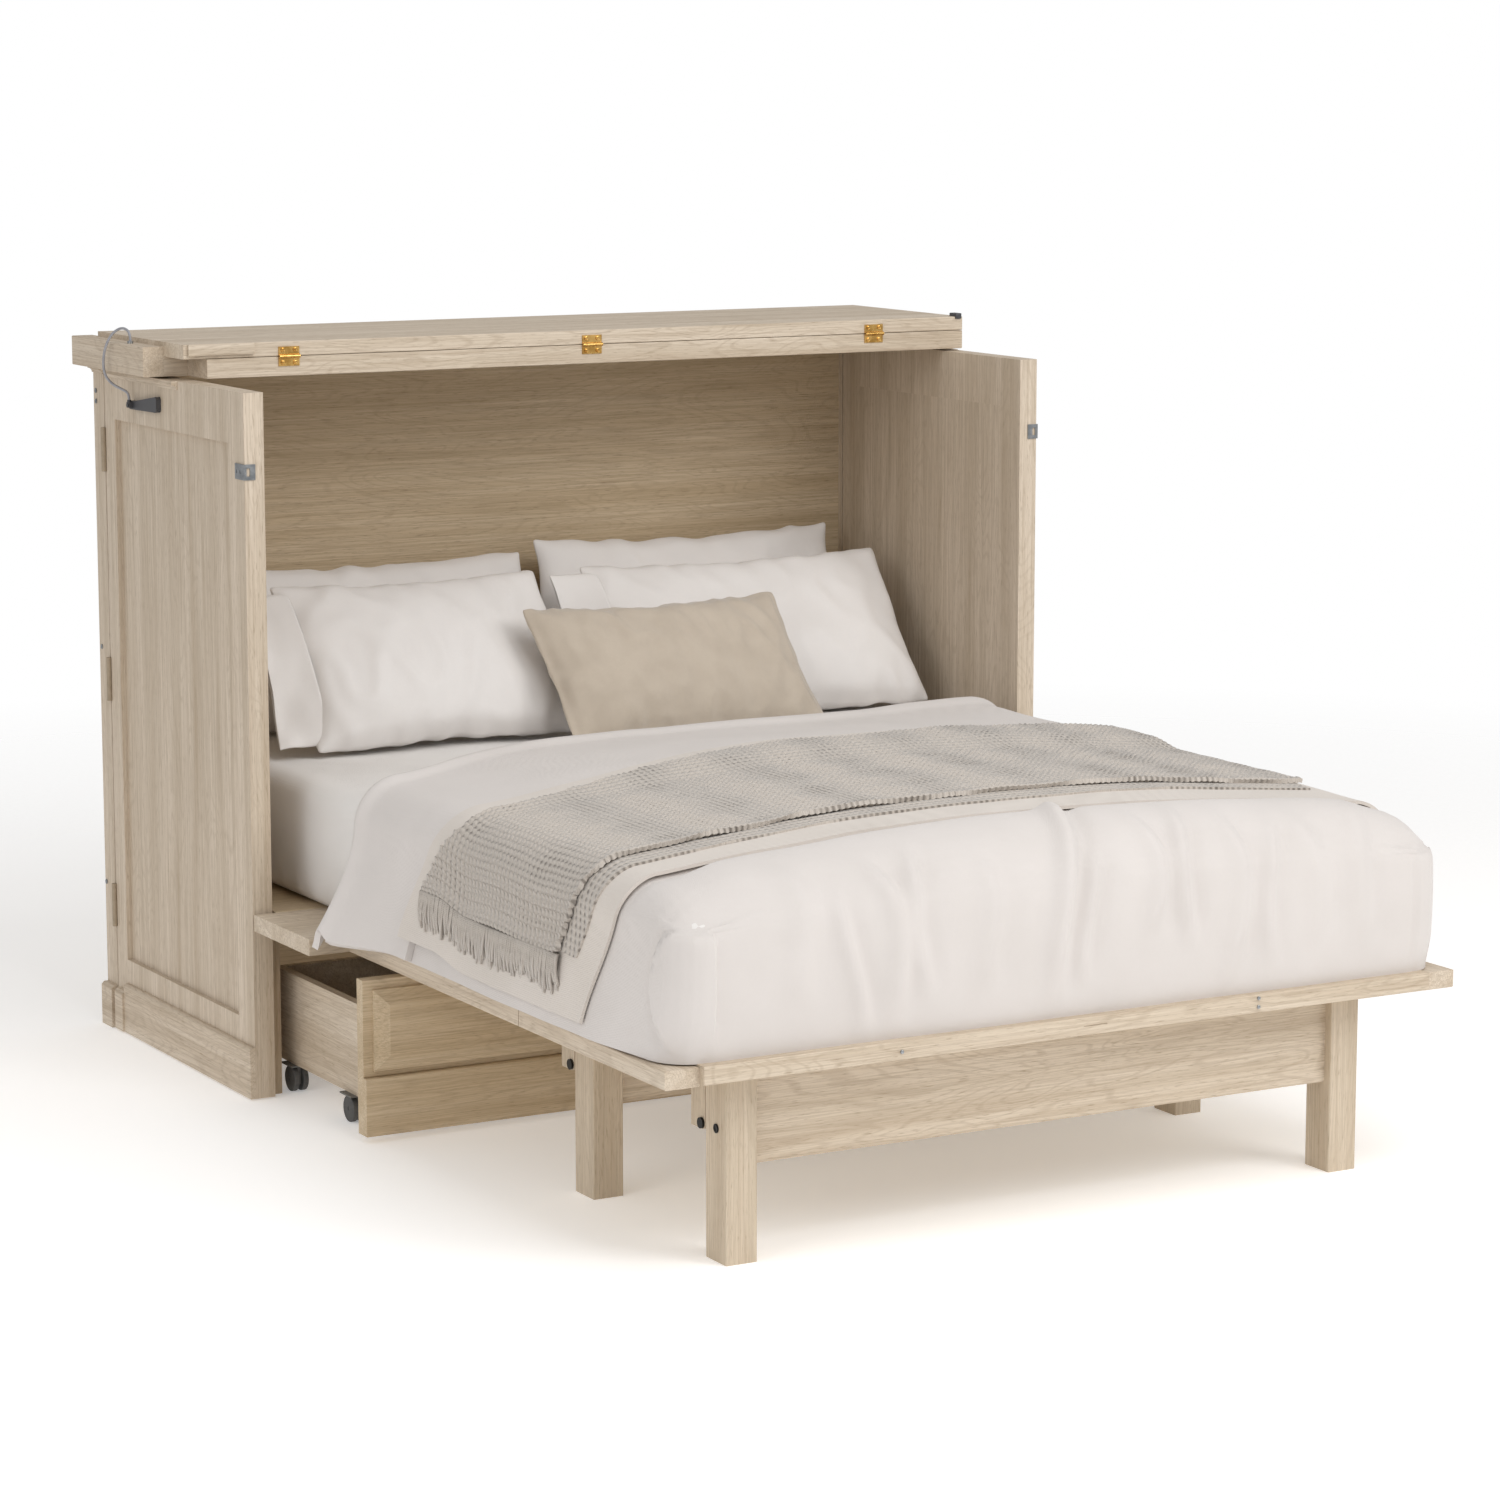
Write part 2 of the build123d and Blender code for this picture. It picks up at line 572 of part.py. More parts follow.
def cable():
    """The sheathed cable: straight runs joined by arcs as large as the runs allow."""
    points = [Vector(*p) for p in CABLE_POINTS]
    radii = []
    for a, b, c in zip(points, points[1:], points[2:]):
        turn = (b - a).get_angle(c - b)
        shorter = min((b - a).length, (c - b).length)
        radii.append(0.45 * shorter / tan_degrees(turn / 2))
    print("cable radii", [round(r) for r in radii])
    path = FilletPolyline(*CABLE_POINTS, radius=radii)
    start = Plane(origin=path @ 0, z_dir=path % 0)
    solid = sweep(start * Circle(CABLE_R), path=path)
    print("cable volume / (section x length)", solid.volume / (path.length * 3.14159265 * CABLE_R ** 2))
    return solid


def tan_degrees(angle):
    turned = Vector(1, 0, 0).rotate(Axis.Z, angle)
    return turned.Y / turned.X


def cable_eyelet():
    x, y, _ = CABLE_POINTS[0]
    top = TOP_Z + BAND_H
    return rod((x, y, top), (x, y, CABLE_POINTS[0][2]), 5)


def cable_tab():
    """Moulded tab on the door face, taller at its front end, with a socket for the cable."""
    rear, front = TAB_Y + 10, TAB_Y - 110
    low, high = TAB_TOP_Z - 14, TAB_TOP_Z + 14
    outline = Polyline((rear, low), (rear, TAB_TOP_Z), (TAB_Y - 9, TAB_TOP_Z), (front + 4, high),
                       (front, high - 4), (front, low + 6), (front + 4, low + 2), (TAB_Y, low), close=True)
    face = make_face(Plane.YZ * outline)
    tab = Pos(-HALF_W - 9, 0, 0) * extrude(face, 9)
    x = -HALF_W - 13
    socket = rod((x, TAB_Y, TAB_TOP_Z - 3), (x, TAB_Y, TAB_TOP_Z + 2), 3.4)
    neck = block(x - 2.4, x + 8, TAB_Y - 7, TAB_Y + 7, TAB_TOP_Z - 11, TAB_TOP_Z - 2)
    return tab + neck + socket


def cable_tab_screw():
    x, z = -HALF_W - 15.4, TAB_TOP_Z - 7
    return rod((x - 1.6, TAB_Y, z), (x, TAB_Y, z), 4)


# ---------------------------------------------------------------- soft pieces: plain solids of the right size
def mattress(y0, y1, bottom_z=MATTRESS_BOTTOM_Z):
    body = block(-MATTRESS_X, MATTRESS_X, y0, y1, bottom_z, MATTRESS_TOP_Z)
    return round_edges(body, 25, Axis.Y)


def duvet(y0, y1, closed_foot):
    """A cover over the mattress top with its two side falls, and a foot fall on the last part."""
    x_in = MATTRESS_X + SOFT_GAP
    x_out = x_in + DUVET_SIDE_T
    top = DUVET_TOP_Z
    y_low = y0 - DUVET_SIDE_T if closed_foot else y0
    outer = block(-x_out, x_out, y_low, y1, DUVET_SIDE_HEM_Z, top)
    outer = round_edges(outer, DUVET_ROUND_R, Axis.Y, lambda e: e.center().Z > top - 1)
    inner = block(-x_in, x_in, y0, y1, DUVET_SIDE_HEM_Z, MATTRESS_TOP_Z + SOFT_GAP)
    return outer - inner


def throw(y0, y1):
    """A blanket across the duvet: flat on top, hanging over the left-hand side."""
    x_in = MATTRESS_X + 2 * SOFT_GAP + DUVET_SIDE_T
    x_out = x_in + THROW_T
    low = DUVET_TOP_Z + SOFT_GAP
    outer = block(-x_out, THROW_RIGHT_X, y0, y1, THROW_HEM_Z, low + THROW_T)
    inner = block(-x_in, THROW_RIGHT_X, y0, y1, THROW_HEM_Z, low)
    return outer - inner


def leaning(x0, x1, height, thick, y_back, lean):
    """A pillow that stands on the mattress and leans back; lean is its angle from flat."""
    body = Box(x1 - x0, height, thick, align=(Align.CENTER, Align.MIN, Align.MIN))
    body = fillet(body.edges().filter_by(Axis.X), PILLOW_SOFT_R)
    lift = MATTRESS_TOP_Z + SOFT_GAP
    return Pos((x0 + x1) / 2, y_back, lift) * Rot(lean, 0, 0) * body


def pair_of(shape):
    return [shape, other_side(shape)]


def main():
    save("posts", *pair_of(post()))
    save("post_base_blocks", *pair_of(post_base_block()))
    save("back_panel", back_panel())
    save("inner_side_panels", *pair_of(inner_side_panel()))
    save("rear_platform", rear_platform())
    save("fixed_top", fixed_top())
    save("crown_mouldings", *pair_of(crown_band()), *pair_of(cove(POST_FRONT_Y, CABINET_DEPTH, TOP_Z)))
    fixed_leaves = [hinge_leaf(z, False) for z in DOOR_HINGE_Z] + hinge_pins()
    save("post_hinges", *fixed_leaves, *[other_side(s) for s in fixed_leaves])

    y0, y1, z0, z1 = panel_bounds()
    rear_stile = door_stile(y1, DOOR_REAR_Y) - hinge_recess()
    door_cove = cove(DOOR_COVE_Y, DOOR_AXIS_Y - BLOCK_FROM_AXIS, DOOR_TOP_Z)
    save_pair("door_stiles", door_stile(DOOR_FRONT_Y, y0), rear_stile)
    save_pair("door_rails", *door_rails())
    save_pair("door_panel", panel_slot(), door_lining())
    save_pair("door_mouldings", door_baseboard(), door_base_block(), door_cove)
    save_pair("door_hinges", *[hinge_leaf(z, True) for z in DOOR_HINGE_Z])
    save_pair("latch_plate", latch_plate(), *latch_screws())

    save("lid_flap", lid_flap())
    save("lid_hinges_fixed", *[lid_leaf(x, False) for x in LID_HINGE_X], *lid_pins(), *lid_screws(False))
    save("lid_hinges_moving", *[lid_leaf(x, True) for x in LID_HINGE_X], *lid_screws(True))

    front_y0, front_y1 = SECTION_SPLIT_Y + HINGE_GAP, -HINGE_GAP - WIDE_BOARD_DEPTH
    foot_y0, foot_y1 = FOOT_Y + FOOT_BOARD_SETBACK, SECTION_SPLIT_Y - HINGE_GAP
    rail_y = FOOT_Y + FOOT_RAIL_W
    save("front_wide_board", wide_board())
    save("front_side_boards", *pair_of(side_board(front_y0, front_y1)))
    save("front_deck", deck(front_y0, front_y1), *battens(MID_LEG_Y + LEG_D, front_y1 - 4))
    save("foot_side_boards", *pair_of(side_board(foot_y0, foot_y1)))
    save("foot_deck", deck(rail_y, foot_y1), *battens(FOOT_LEG_Y + LEG_D, foot_y1 - 20))
    save("foot_rail_left", foot_rail_left())
    save("foot_rail_right", foot_rail_right())
    for name, y in (("foot", FOOT_LEG_Y), ("middle", MID_LEG_Y)):
        save(f"{name}_legs", *pair_of(leg(y)), *pair_of(ear(y)))
        save(f"{name}_apron", apron(y))
        save(f"{name}_leg_brackets", *pair_of(bracket(y)))
        save(f"{name}_pivot_bolts", *pair_of(pivot_bolt(y)))

    save("drawer_front", drawer_front())
    save("drawer_raised_panel", drawer_raised_panel())
    save("drawer_plinth", drawer_plinth())
    side, back, bottom = drawer_box()
    save("drawer_box", *pair_of(side), back, bottom)
    mounts = []
    for place, y in zip(("front", "rear"), CASTER_Y):
        mount, wheels = caster_parts(y)
        mounts += pair_of(mount)
        save(f"caster_wheels_{place}", *wheels, *[other_side(w) for w in wheels])
    save("caster_mounts", *mounts)

    save("cable", cable())
    save("cable_eyelet", cable_eyelet())
    save("cable_tab", cable_tab(), cable_tab_screw())

    save("mattress_rear", mattress(HINGE_GAP, MATTRESS_REAR_Y))
    save("mattress_middle", mattress(front_y0, -HINGE_GAP))
    save("mattress_foot", mattress(rail_y - 22, foot_y1, MATTRESS_BOTTOM_Z + FOOT_RAIL_RISE))
    save("duvet_middle", duvet(front_y0, DUVET_REAR_Y, False))
    save("duvet_foot", duvet(rail_y - 22 - SOFT_GAP, foot_y1, True))
    save("throw_middle", throw(front_y0, THROW_REAR_Y))
    save("throw_foot", throw(THROW_FRONT_Y, foot_y1))
    side = MATTRESS_X
    rear_left_y, rear_right_y = [BACK_Y - gap for gap in REAR_PILLOW_FROM_BACK]
    front_y = BACK_Y - FRONT_PILLOW_FROM_BACK
    half_cushion = CUSHION_W / 2
    save("pillow_rear_left", leaning(90 - side, 10, 262, 95, rear_left_y, 76))
    save("pillow_rear_right", leaning(35, side, 285, 95, rear_right_y, 76))
    save("pillow_front_left", leaning(52 - side, -32, 290, 105, front_y, 52))
    save("pillow_front_right", leaning(0, side + 15, 290, 105, front_y, 52))
    save("lumbar_cushion", leaning(CUSHION_X - half_cushion, CUSHION_X + half_cushion, 244, 92,
                                   BACK_Y - CUSHION_FROM_BACK, 55))


if __name__ == "__main__":
    main()
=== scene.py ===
# %% [markdown]
# A cabinet bed, opened out. The wooden and metal parts come ready made as a fixed frame, at
# their real size in metres. This script adds what such a frame can't have: bedding that sags and
# wrinkles, a knotted blanket, a cable that hangs, small fittings, and a finish for every part.

# %% Load the fixed frame
import math
import random

import bmesh
import bpy
from mathutils import Matrix, Vector, noise


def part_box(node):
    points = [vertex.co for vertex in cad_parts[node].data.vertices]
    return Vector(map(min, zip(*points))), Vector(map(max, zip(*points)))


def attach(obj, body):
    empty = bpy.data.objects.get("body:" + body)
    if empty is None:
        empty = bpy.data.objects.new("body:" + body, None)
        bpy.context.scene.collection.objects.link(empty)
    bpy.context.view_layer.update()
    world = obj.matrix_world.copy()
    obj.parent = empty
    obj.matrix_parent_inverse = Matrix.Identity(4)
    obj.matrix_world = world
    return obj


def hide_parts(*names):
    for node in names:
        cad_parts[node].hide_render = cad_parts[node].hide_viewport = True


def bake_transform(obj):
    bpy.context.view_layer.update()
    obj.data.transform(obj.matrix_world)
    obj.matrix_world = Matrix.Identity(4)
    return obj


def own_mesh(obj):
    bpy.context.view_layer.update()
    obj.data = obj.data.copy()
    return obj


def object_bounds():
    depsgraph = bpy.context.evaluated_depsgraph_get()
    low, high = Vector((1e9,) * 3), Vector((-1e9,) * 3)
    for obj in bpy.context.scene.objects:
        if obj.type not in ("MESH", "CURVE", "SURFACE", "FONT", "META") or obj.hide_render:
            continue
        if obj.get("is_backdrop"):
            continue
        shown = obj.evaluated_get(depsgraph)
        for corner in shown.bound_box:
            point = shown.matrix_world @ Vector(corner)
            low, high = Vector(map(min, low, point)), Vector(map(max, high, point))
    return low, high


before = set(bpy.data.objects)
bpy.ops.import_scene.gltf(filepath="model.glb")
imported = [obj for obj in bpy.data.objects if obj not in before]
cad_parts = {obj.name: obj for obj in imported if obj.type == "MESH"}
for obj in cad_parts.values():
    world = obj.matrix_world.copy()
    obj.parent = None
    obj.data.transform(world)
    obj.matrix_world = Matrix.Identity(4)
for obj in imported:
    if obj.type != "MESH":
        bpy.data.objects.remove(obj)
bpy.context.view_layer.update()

print("parts in the frame:", len(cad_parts))

# %% [markdown]
# Places are easiest to give from the open front of the cabinet: the bed starts there. So one
# small function turns "metres behind the open front" into the frame's own y.

# %% Driving places
OPEN_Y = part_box("mattress_middle")[1].y + 0.001     # plane of the cabinet's open front
SPLIT_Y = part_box("mattress_foot")[1].y + 0.001      # fold between the two platform sections
PLATFORM_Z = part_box("rear_platform")[1].z
MATTRESS_LOW, MATTRESS_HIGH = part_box("mattress_middle")
MATTRESS_X = MATTRESS_HIGH.x
MATTRESS_TOP = MATTRESS_HIGH.z
DUVET_LOW, DUVET_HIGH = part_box("duvet_foot")
FOOT_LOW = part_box("foot_rail_left")[0]


def at(y):
    """The frame's y for a place given from the open front."""
    return OPEN_Y + y


print("open front at y", round(OPEN_Y, 4), "fold at y", round(SPLIT_Y, 4))

# %% [markdown]
# The camera stands at the foot, to the left and a little above the lid, with a long lens, so
# that upright edges stay nearly parallel. Two big soft lamps and a pale world give the even
# light of a studio, with the front of the bed brighter than its side.

# %% Camera
camera_data = bpy.data.cameras.new("camera")
camera_data.lens = 104.5
camera_data.sensor_width = 36
camera = bpy.data.objects.new("camera", camera_data)
camera.location = (-3.406, at(-6.377), 1.704)
camera.rotation_euler = (math.radians(80.67), 0, math.radians(-29.28))
bpy.context.scene.collection.objects.link(camera)
bpy.context.scene.camera = camera
print("camera lens", camera_data.lens, "mm")


# %% Lamps, world and floor
def lamp(name, place, aim, size, power, tint=(1, 1, 1)):
    data = bpy.data.lights.new(name, "AREA")
    data.shape = "RECTANGLE"
    data.size, data.size_y = size
    data.energy = power
    data.color = tint
    made = bpy.data.objects.new(name, data)
    made.location = place
    made.rotation_euler = (Vector(aim) - Vector(place)).to_track_quat("-Z", "Y").to_euler()
    bpy.context.scene.collection.objects.link(made)
    return made


def srgb(code):
    """A colour such as D8C8B0, in sRGB, as the linear values that shaders use."""
    parts = [int(code[i:i + 2], 16) / 255 for i in (0, 2, 4)]
    return tuple(c / 12.92 if c < 0.04045 else ((c + 0.055) / 1.055) ** 2.4 for c in parts) + (1,)


lamp("key_lamp", (2.4, -4.6, 3.4), (0, -0.2, 0.5), (2.6, 2.0), 82, (1.0, 0.99, 0.98))
lamp("fill_lamp", (-5.2, -2.2, 2.6), (-0.3, 0.1, 0.6), (3.0, 3.0), 46)
lamp("top_lamp", (0.2, -2.6, 4.0), (0, 0.4, 0.5), (2.6, 2.6), 62)

world = bpy.data.worlds.new("studio")
bpy.context.scene.world = world
world.use_nodes = True
sky = world.node_tree.nodes["Background"]
sky.inputs["Color"].default_value = srgb("FDFCFB")
sky.inputs["Strength"].default_value = 0.56
backdrop = world.node_tree.nodes.new("ShaderNodeBackground")
backdrop.inputs["Color"].default_value = srgb("FFFFFF")
seen = world.node_tree.nodes.new("ShaderNodeLightPath")
either = world.node_tree.nodes.new("ShaderNodeMixShader")
world.node_tree.links.new(seen.outputs["Is Camera Ray"], either.inputs[0])
world.node_tree.links.new(sky.outputs[0], either.inputs[1])
world.node_tree.links.new(backdrop.outputs[0], either.inputs[2])
world.node_tree.links.new(either.outputs[0], world.node_tree.nodes["World Output"].inputs["Surface"])
bpy.context.scene.view_settings.view_transform = "Standard"


def deselect():
    if bpy.context.mode != "OBJECT":
        bpy.ops.object.mode_set(mode="OBJECT")
    bpy.ops.object.select_all(action="DESELECT")


deselect()
bpy.ops.mesh.primitive_plane_add(size=14, location=(0, 0, 0))
floor = bpy.context.object
floor.name = "floor"
floor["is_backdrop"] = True

# %% [markdown]
# Materials are built from nodes. One helper adds a node, sets it and links it, so that every
# finish below reads as a short recipe. Patterns take their scale from real sizes: a pattern that
# repeats every 3 mm has a scale of 1 / 0.003.


# %% Node helper
def new_material(name):
    made = bpy.data.materials.new(name)
    made.use_nodes = True
    return made, made.node_tree.nodes["Principled BSDF"]


def add_node(material, kind, settings=None, **inputs):
    """Adds a node; an input is a value or another node's output socket."""
    tree = material.node_tree
    node = tree.nodes.new("ShaderNode" + kind)
    for key, value in (settings or {}).items():
        setattr(node, key, value)
    for key, value in inputs.items():
        socket = node.inputs[int(key[1:])] if key[1:].isdigit() else node.inputs[key.replace("_", " ")]
        if isinstance(value, bpy.types.NodeSocket):
            tree.links.new(value, socket)
        else:
            socket.default_value = value
    return node


def ramp(material, factor, *stops):
    """A colour ramp; each stop is (place, sRGB code)."""
    node = add_node(material, "ValToRGB", Fac=factor)
    points = node.color_ramp.elements
    while len(points) < len(stops):
        points.new(0.5)
    for point, (place, code) in zip(points, stops):
        point.position = place
        point.color = srgb(code)
    return node.outputs["Color"]


def mix(material, factor, a, b):
    return add_node(material, "Mix", {"data_type": "RGBA"}, i0=factor, i6=a, i7=b).outputs[2]


def maths(material, operation, *values):
    """One step of arithmetic on values or sockets."""
    slots = {f"i{place}": value for place, value in enumerate(values)}
    return add_node(material, "Math", {"operation": operation}, **slots).outputs[0]


def remap(material, value, low, high, to_low, to_high):
    """Turns the range low to high into to_low to to_high."""
    return add_node(material, "MapRange", Value=value, i1=low, i2=high, i3=to_low, i4=to_high).outputs[0]


def bump(material, shader, height, distance, strength):
    node = add_node(material, "Bump", Height=height, Distance=distance, Strength=strength)
    material.node_tree.links.new(node.outputs["Normal"], shader.inputs["Normal"])


# %% [markdown]
# The cabinet is faced in light oak veneer, brushed and matt-lacquered. To the eye that is a warm
# grey-beige ground, soft stripes a few centimetres wide, hair-fine darker fibres that run the
# whole board, and short pores. The same recipe serves every board, turned to its grain.

# %% Oak veneer
STRIPE = 0.038      # width of the soft growth stripes
FIBRE = 0.0024      # width of the fibres, drawn a little coarse so that they show
PORE = 0.0013


def oak(name, pale, middle, dark, vein, grain, figure, offset=0.0):
    """Light oak with its grain along x, y or z."""
    made, shader = new_material(name)
    place = add_node(made, "TexCoord").outputs["Object"]

    def stretched(across, along):
        scale = [1 / across] * 3
        scale["xyz".index(grain)] = 1 / along
        return add_node(made, "Mapping", Vector=place, Scale=scale,
                        Location=(offset, offset * 1.7, offset * 0.6)).outputs["Vector"]

    stripes = add_node(made, "TexNoise", Vector=stretched(STRIPE, 1.1), Scale=1, Detail=4,
                       Roughness=0.6, Distortion=0.2).outputs["Fac"]
    ground = ramp(made, stripes, (0.28, dark), (0.46, middle), (0.64, pale))
    rings = add_node(made, "TexNoise", Vector=stretched(0.085, 0.55), Scale=1, Detail=2,
                     Distortion=0.5).outputs["Fac"]
    waves = maths(made, "SINE", maths(made, "MULTIPLY", rings, 150.0))
    ground = mix(made, remap(made, waves, 0.35, 1.0, 0.0, figure), ground, srgb(vein))
    streaks = add_node(made, "TexNoise", Vector=stretched(0.0065, 0.42), Scale=1, Detail=3,
                       Roughness=0.6).outputs["Fac"]
    ground = mix(made, remap(made, streaks, 0.46, 0.74, 0.0, 0.55), ground, srgb(dark))
    fibres = add_node(made, "TexNoise", Vector=stretched(FIBRE, 0.22), Scale=1, Detail=4,
                      Roughness=0.65).outputs["Fac"]
    ground = mix(made, remap(made, fibres, 0.44, 0.72, 0.0, 0.62), ground, srgb(vein))
    pores = add_node(made, "TexNoise", Vector=stretched(PORE, 0.020), Scale=1, Detail=2).outputs["Fac"]
    specks = remap(made, pores, 0.58, 0.72, 0.0, 0.5)
    ground = mix(made, specks, ground, srgb("8C775C"))
    made.node_tree.links.new(ground, shader.inputs["Base Color"])
    gloss = remap(made, fibres, 0.3, 0.7, 0.50, 0.64)
    made.node_tree.links.new(gloss, shader.inputs["Roughness"])
    bump(made, shader, maths(made, "SUBTRACT", fibres, specks), 0.0005, 0.5)
    return made


oak_upright = oak("light_oak_veneer_upright", "D9CAB7", "CDBEAA", "BCAA93", "A8967F", "z", 0.20)
oak_panel = oak("light_oak_veneer_panel", "D8C9B6", "CBBCA8", "BAA891", "A5937C", "z", 0.25, 3.1)
oak_inner = oak("light_oak_veneer_inner", "C5B299", "B8A489", "A59075", "937E63", "z", 0.25, 5.7)
oak_back_and_painted_drawer_shade = oak("light_oak_veneer_back_and_painted_drawer_shade", "D6C3A6", "CAB595", "B7A282", "9E896B", "x", 0.22, 8.3)
oak_wide = oak("light_oak_boards_along_x", "DDCFBC", "D0C1AC", "BDAB94", "A4917A", "x", 0.30, 1.9)
oak_long = oak("light_oak_boards_along_y", "D9CBB8", "CDBDA8", "B9A891", "A28F78", "y", 0.26, 2.6)
oak_leg = oak("solid_light_oak_legs", "D2C3AE", "C6B7A1", "C1AF98", "A8967F", "z", 0.22, 6.2)
oak_hidden = oak("pine_plywood_deck", "D9C49C", "CCB588", "BCA274", "A0865A", "y", 0.18, 4.4)
print("woods:", [m.name for m in bpy.data.materials if "oak" in m.name])

# %% [markdown]
# Metals and plastics. Brass hinges are tumbled and lacquered: warm, fairly glossy, with a faint
# brushed grain. Zinc-plated steel is cooler and duller. The caster mounts, the tab and the
# treads are moulded: a fine grained skin, even colour, soft highlights.


# %% Metal and plastic
def grained(name, code, rough, metal=0.0, grain=0.0006, relief=0.00006, patches=""):
    """A cast, plated or moulded surface with a fine grain and slightly uneven gloss."""
    made, shader = new_material(name)
    place = add_node(made, "TexCoord").outputs["Object"]
    fine = add_node(made, "TexNoise", Vector=place, Scale=1 / grain, Detail=2).outputs["Fac"]
    broad = add_node(made, "TexNoise", Vector=place, Scale=1 / 0.012, Detail=3).outputs["Fac"]
    colour = ramp(made, broad, (0.35, patches or code), (0.6, code))
    made.node_tree.links.new(colour, shader.inputs["Base Color"])
    gloss = remap(made, broad, 0.3, 0.7, rough - 0.06, rough + 0.06)
    made.node_tree.links.new(gloss, shader.inputs["Roughness"])
    shader.inputs["Metallic"].default_value = metal
    bump(made, shader, fine, relief, 0.5)
    return made


brass = grained("lacquered_brass", "DDB36B", 0.27, 1.0, patches="C79A52")
zinc = grained("zinc_plated_steel", "A3A6A9", 0.34, 1.0, patches="8A8E92")
hinge_paint = grained("oak_coloured_hinge_lacquer", "A5957F", 0.55, patches="9A8A74")
bolt_black = grained("blackened_steel", "2B2A29", 0.42, 0.8, patches="1D1C1B")
caster_plastic = grained("moulded_grey_nylon", "6B6A67", 0.52, grain=0.0009, patches="5E5D5A")
caster_tread = grained("grey_rubber_tread", "565553", 0.72, grain=0.0012, patches="4A4948")
tab_plastic = grained("moulded_dark_abs", "47474A", 0.44, grain=0.0008, patches="3D3D40")
cable_vinyl = grained("grey_vinyl_sheath", "9C9CA1", 0.38, grain=0.0010, patches="8E8E94")
floor_paint = grained("matt_studio_floor", "FDFCFB", 0.85, grain=0.02, relief=0.00001, patches="FBFAF9")
floor_shader = floor_paint.node_tree.nodes["Principled BSDF"]
floor_shader.inputs["Emission Color"].default_value = srgb("FFFFFF")
floor_shader.inputs["Emission Strength"].default_value = 0.26
from_middle = add_node(floor_paint, "VectorMath", {"operation": "LENGTH"},
                       Vector=add_node(floor_paint, "TexCoord").outputs["Object"])
FLOOR_WHOLE, FLOOR_GONE = 2.3, 4.6      # the floor fades out between these distances
fade = remap(floor_paint, from_middle.outputs["Value"], FLOOR_WHOLE, FLOOR_GONE, 1.0, 0.0)
floor_paint.node_tree.links.new(fade, floor_shader.inputs["Alpha"])
floor.data.materials.append(floor_paint)

# %% [markdown]
# Bedding cloths. Percale cotton is a tight plain weave: nearly flat, with a thread pattern far
# under a millimetre, so it is drawn at 1.6 mm, just coarse enough to break up the light. The
# cushion is crushed velvet: short pile that catches light at its edges, in soft patches.


# %% Cotton and velvet
SLUB = 0.004        # from one thick place in the yarn to the next


def woven(name, code, shade, thread, relief, sheen=0.25, patch=0.12, rough=0.86):
    """Plain-woven cloth: crossed threads as fine relief, soft mottling, a little sheen."""
    made, shader = new_material(name)
    place = add_node(made, "TexCoord").outputs["Object"]
    split = add_node(made, "SeparateXYZ", Vector=place)
    per_metre = 2 * math.pi / thread
    warp = maths(made, "SINE", maths(made, "MULTIPLY", split.outputs["X"], per_metre))
    weft = maths(made, "SINE", maths(made, "MULTIPLY", split.outputs["Z"], per_metre))
    weave = maths(made, "MULTIPLY", warp, weft)
    cloud = add_node(made, "TexNoise", Vector=place, Scale=1 / patch, Detail=4).outputs["Fac"]
    slub = add_node(made, "TexNoise", Vector=place, Scale=1 / SLUB, Detail=3).outputs["Fac"]
    colour = mix(made, 0.35, srgb(code), ramp(made, cloud, (0.3, shade), (0.62, code)))
    colour = mix(made, remap(made, slub, 0.35, 0.75, 0.0, 0.10), colour, srgb(shade))
    made.node_tree.links.new(colour, shader.inputs["Base Color"])
    shader.inputs["Roughness"].default_value = rough
    shader.inputs["Sheen Weight"].default_value = sheen
    shader.inputs["Sheen Roughness"].default_value = 0.45
    bump(made, shader, maths(made, "ADD", weave, slub), relief, 0.7)
    return made


sheet_percale = woven("sheet_percale", "E9E6E3", "E0DCD8", 0.0016, 0.00012)
duvet_percale = woven("duvet_percale", "DAD4D0", "CFC9C4", 0.0018, 0.00015)
cover_sateen = woven("coverlet_cotton", "D9D1C9", "CCC4BA", 0.0022, 0.00018)
pillow_percale = woven("pillow_percale", "E8E4E1", "DCD7D3", 0.0016, 0.00012)
velvet = woven("crushed_velvet", "C6B9A8", "AFA190", 0.0020, 0.00025, sheen=0.6, patch=0.045, rough=0.78)

# %% [markdown]
# The throw is loosely knotted wool-blend: rows of thick soft yarn with small dark gaps between
# the loops. Its rows are real relief in the mesh. The material adds the shadow in the gaps and
# the twist of the yarn, laid out on the cloth's own flat coordinates, so it turns with the cloth.

# %% Knotted wool
ROW = 0.0125        # from one row of loops to the next
LOOP = 0.0105       # length of one loop along its row


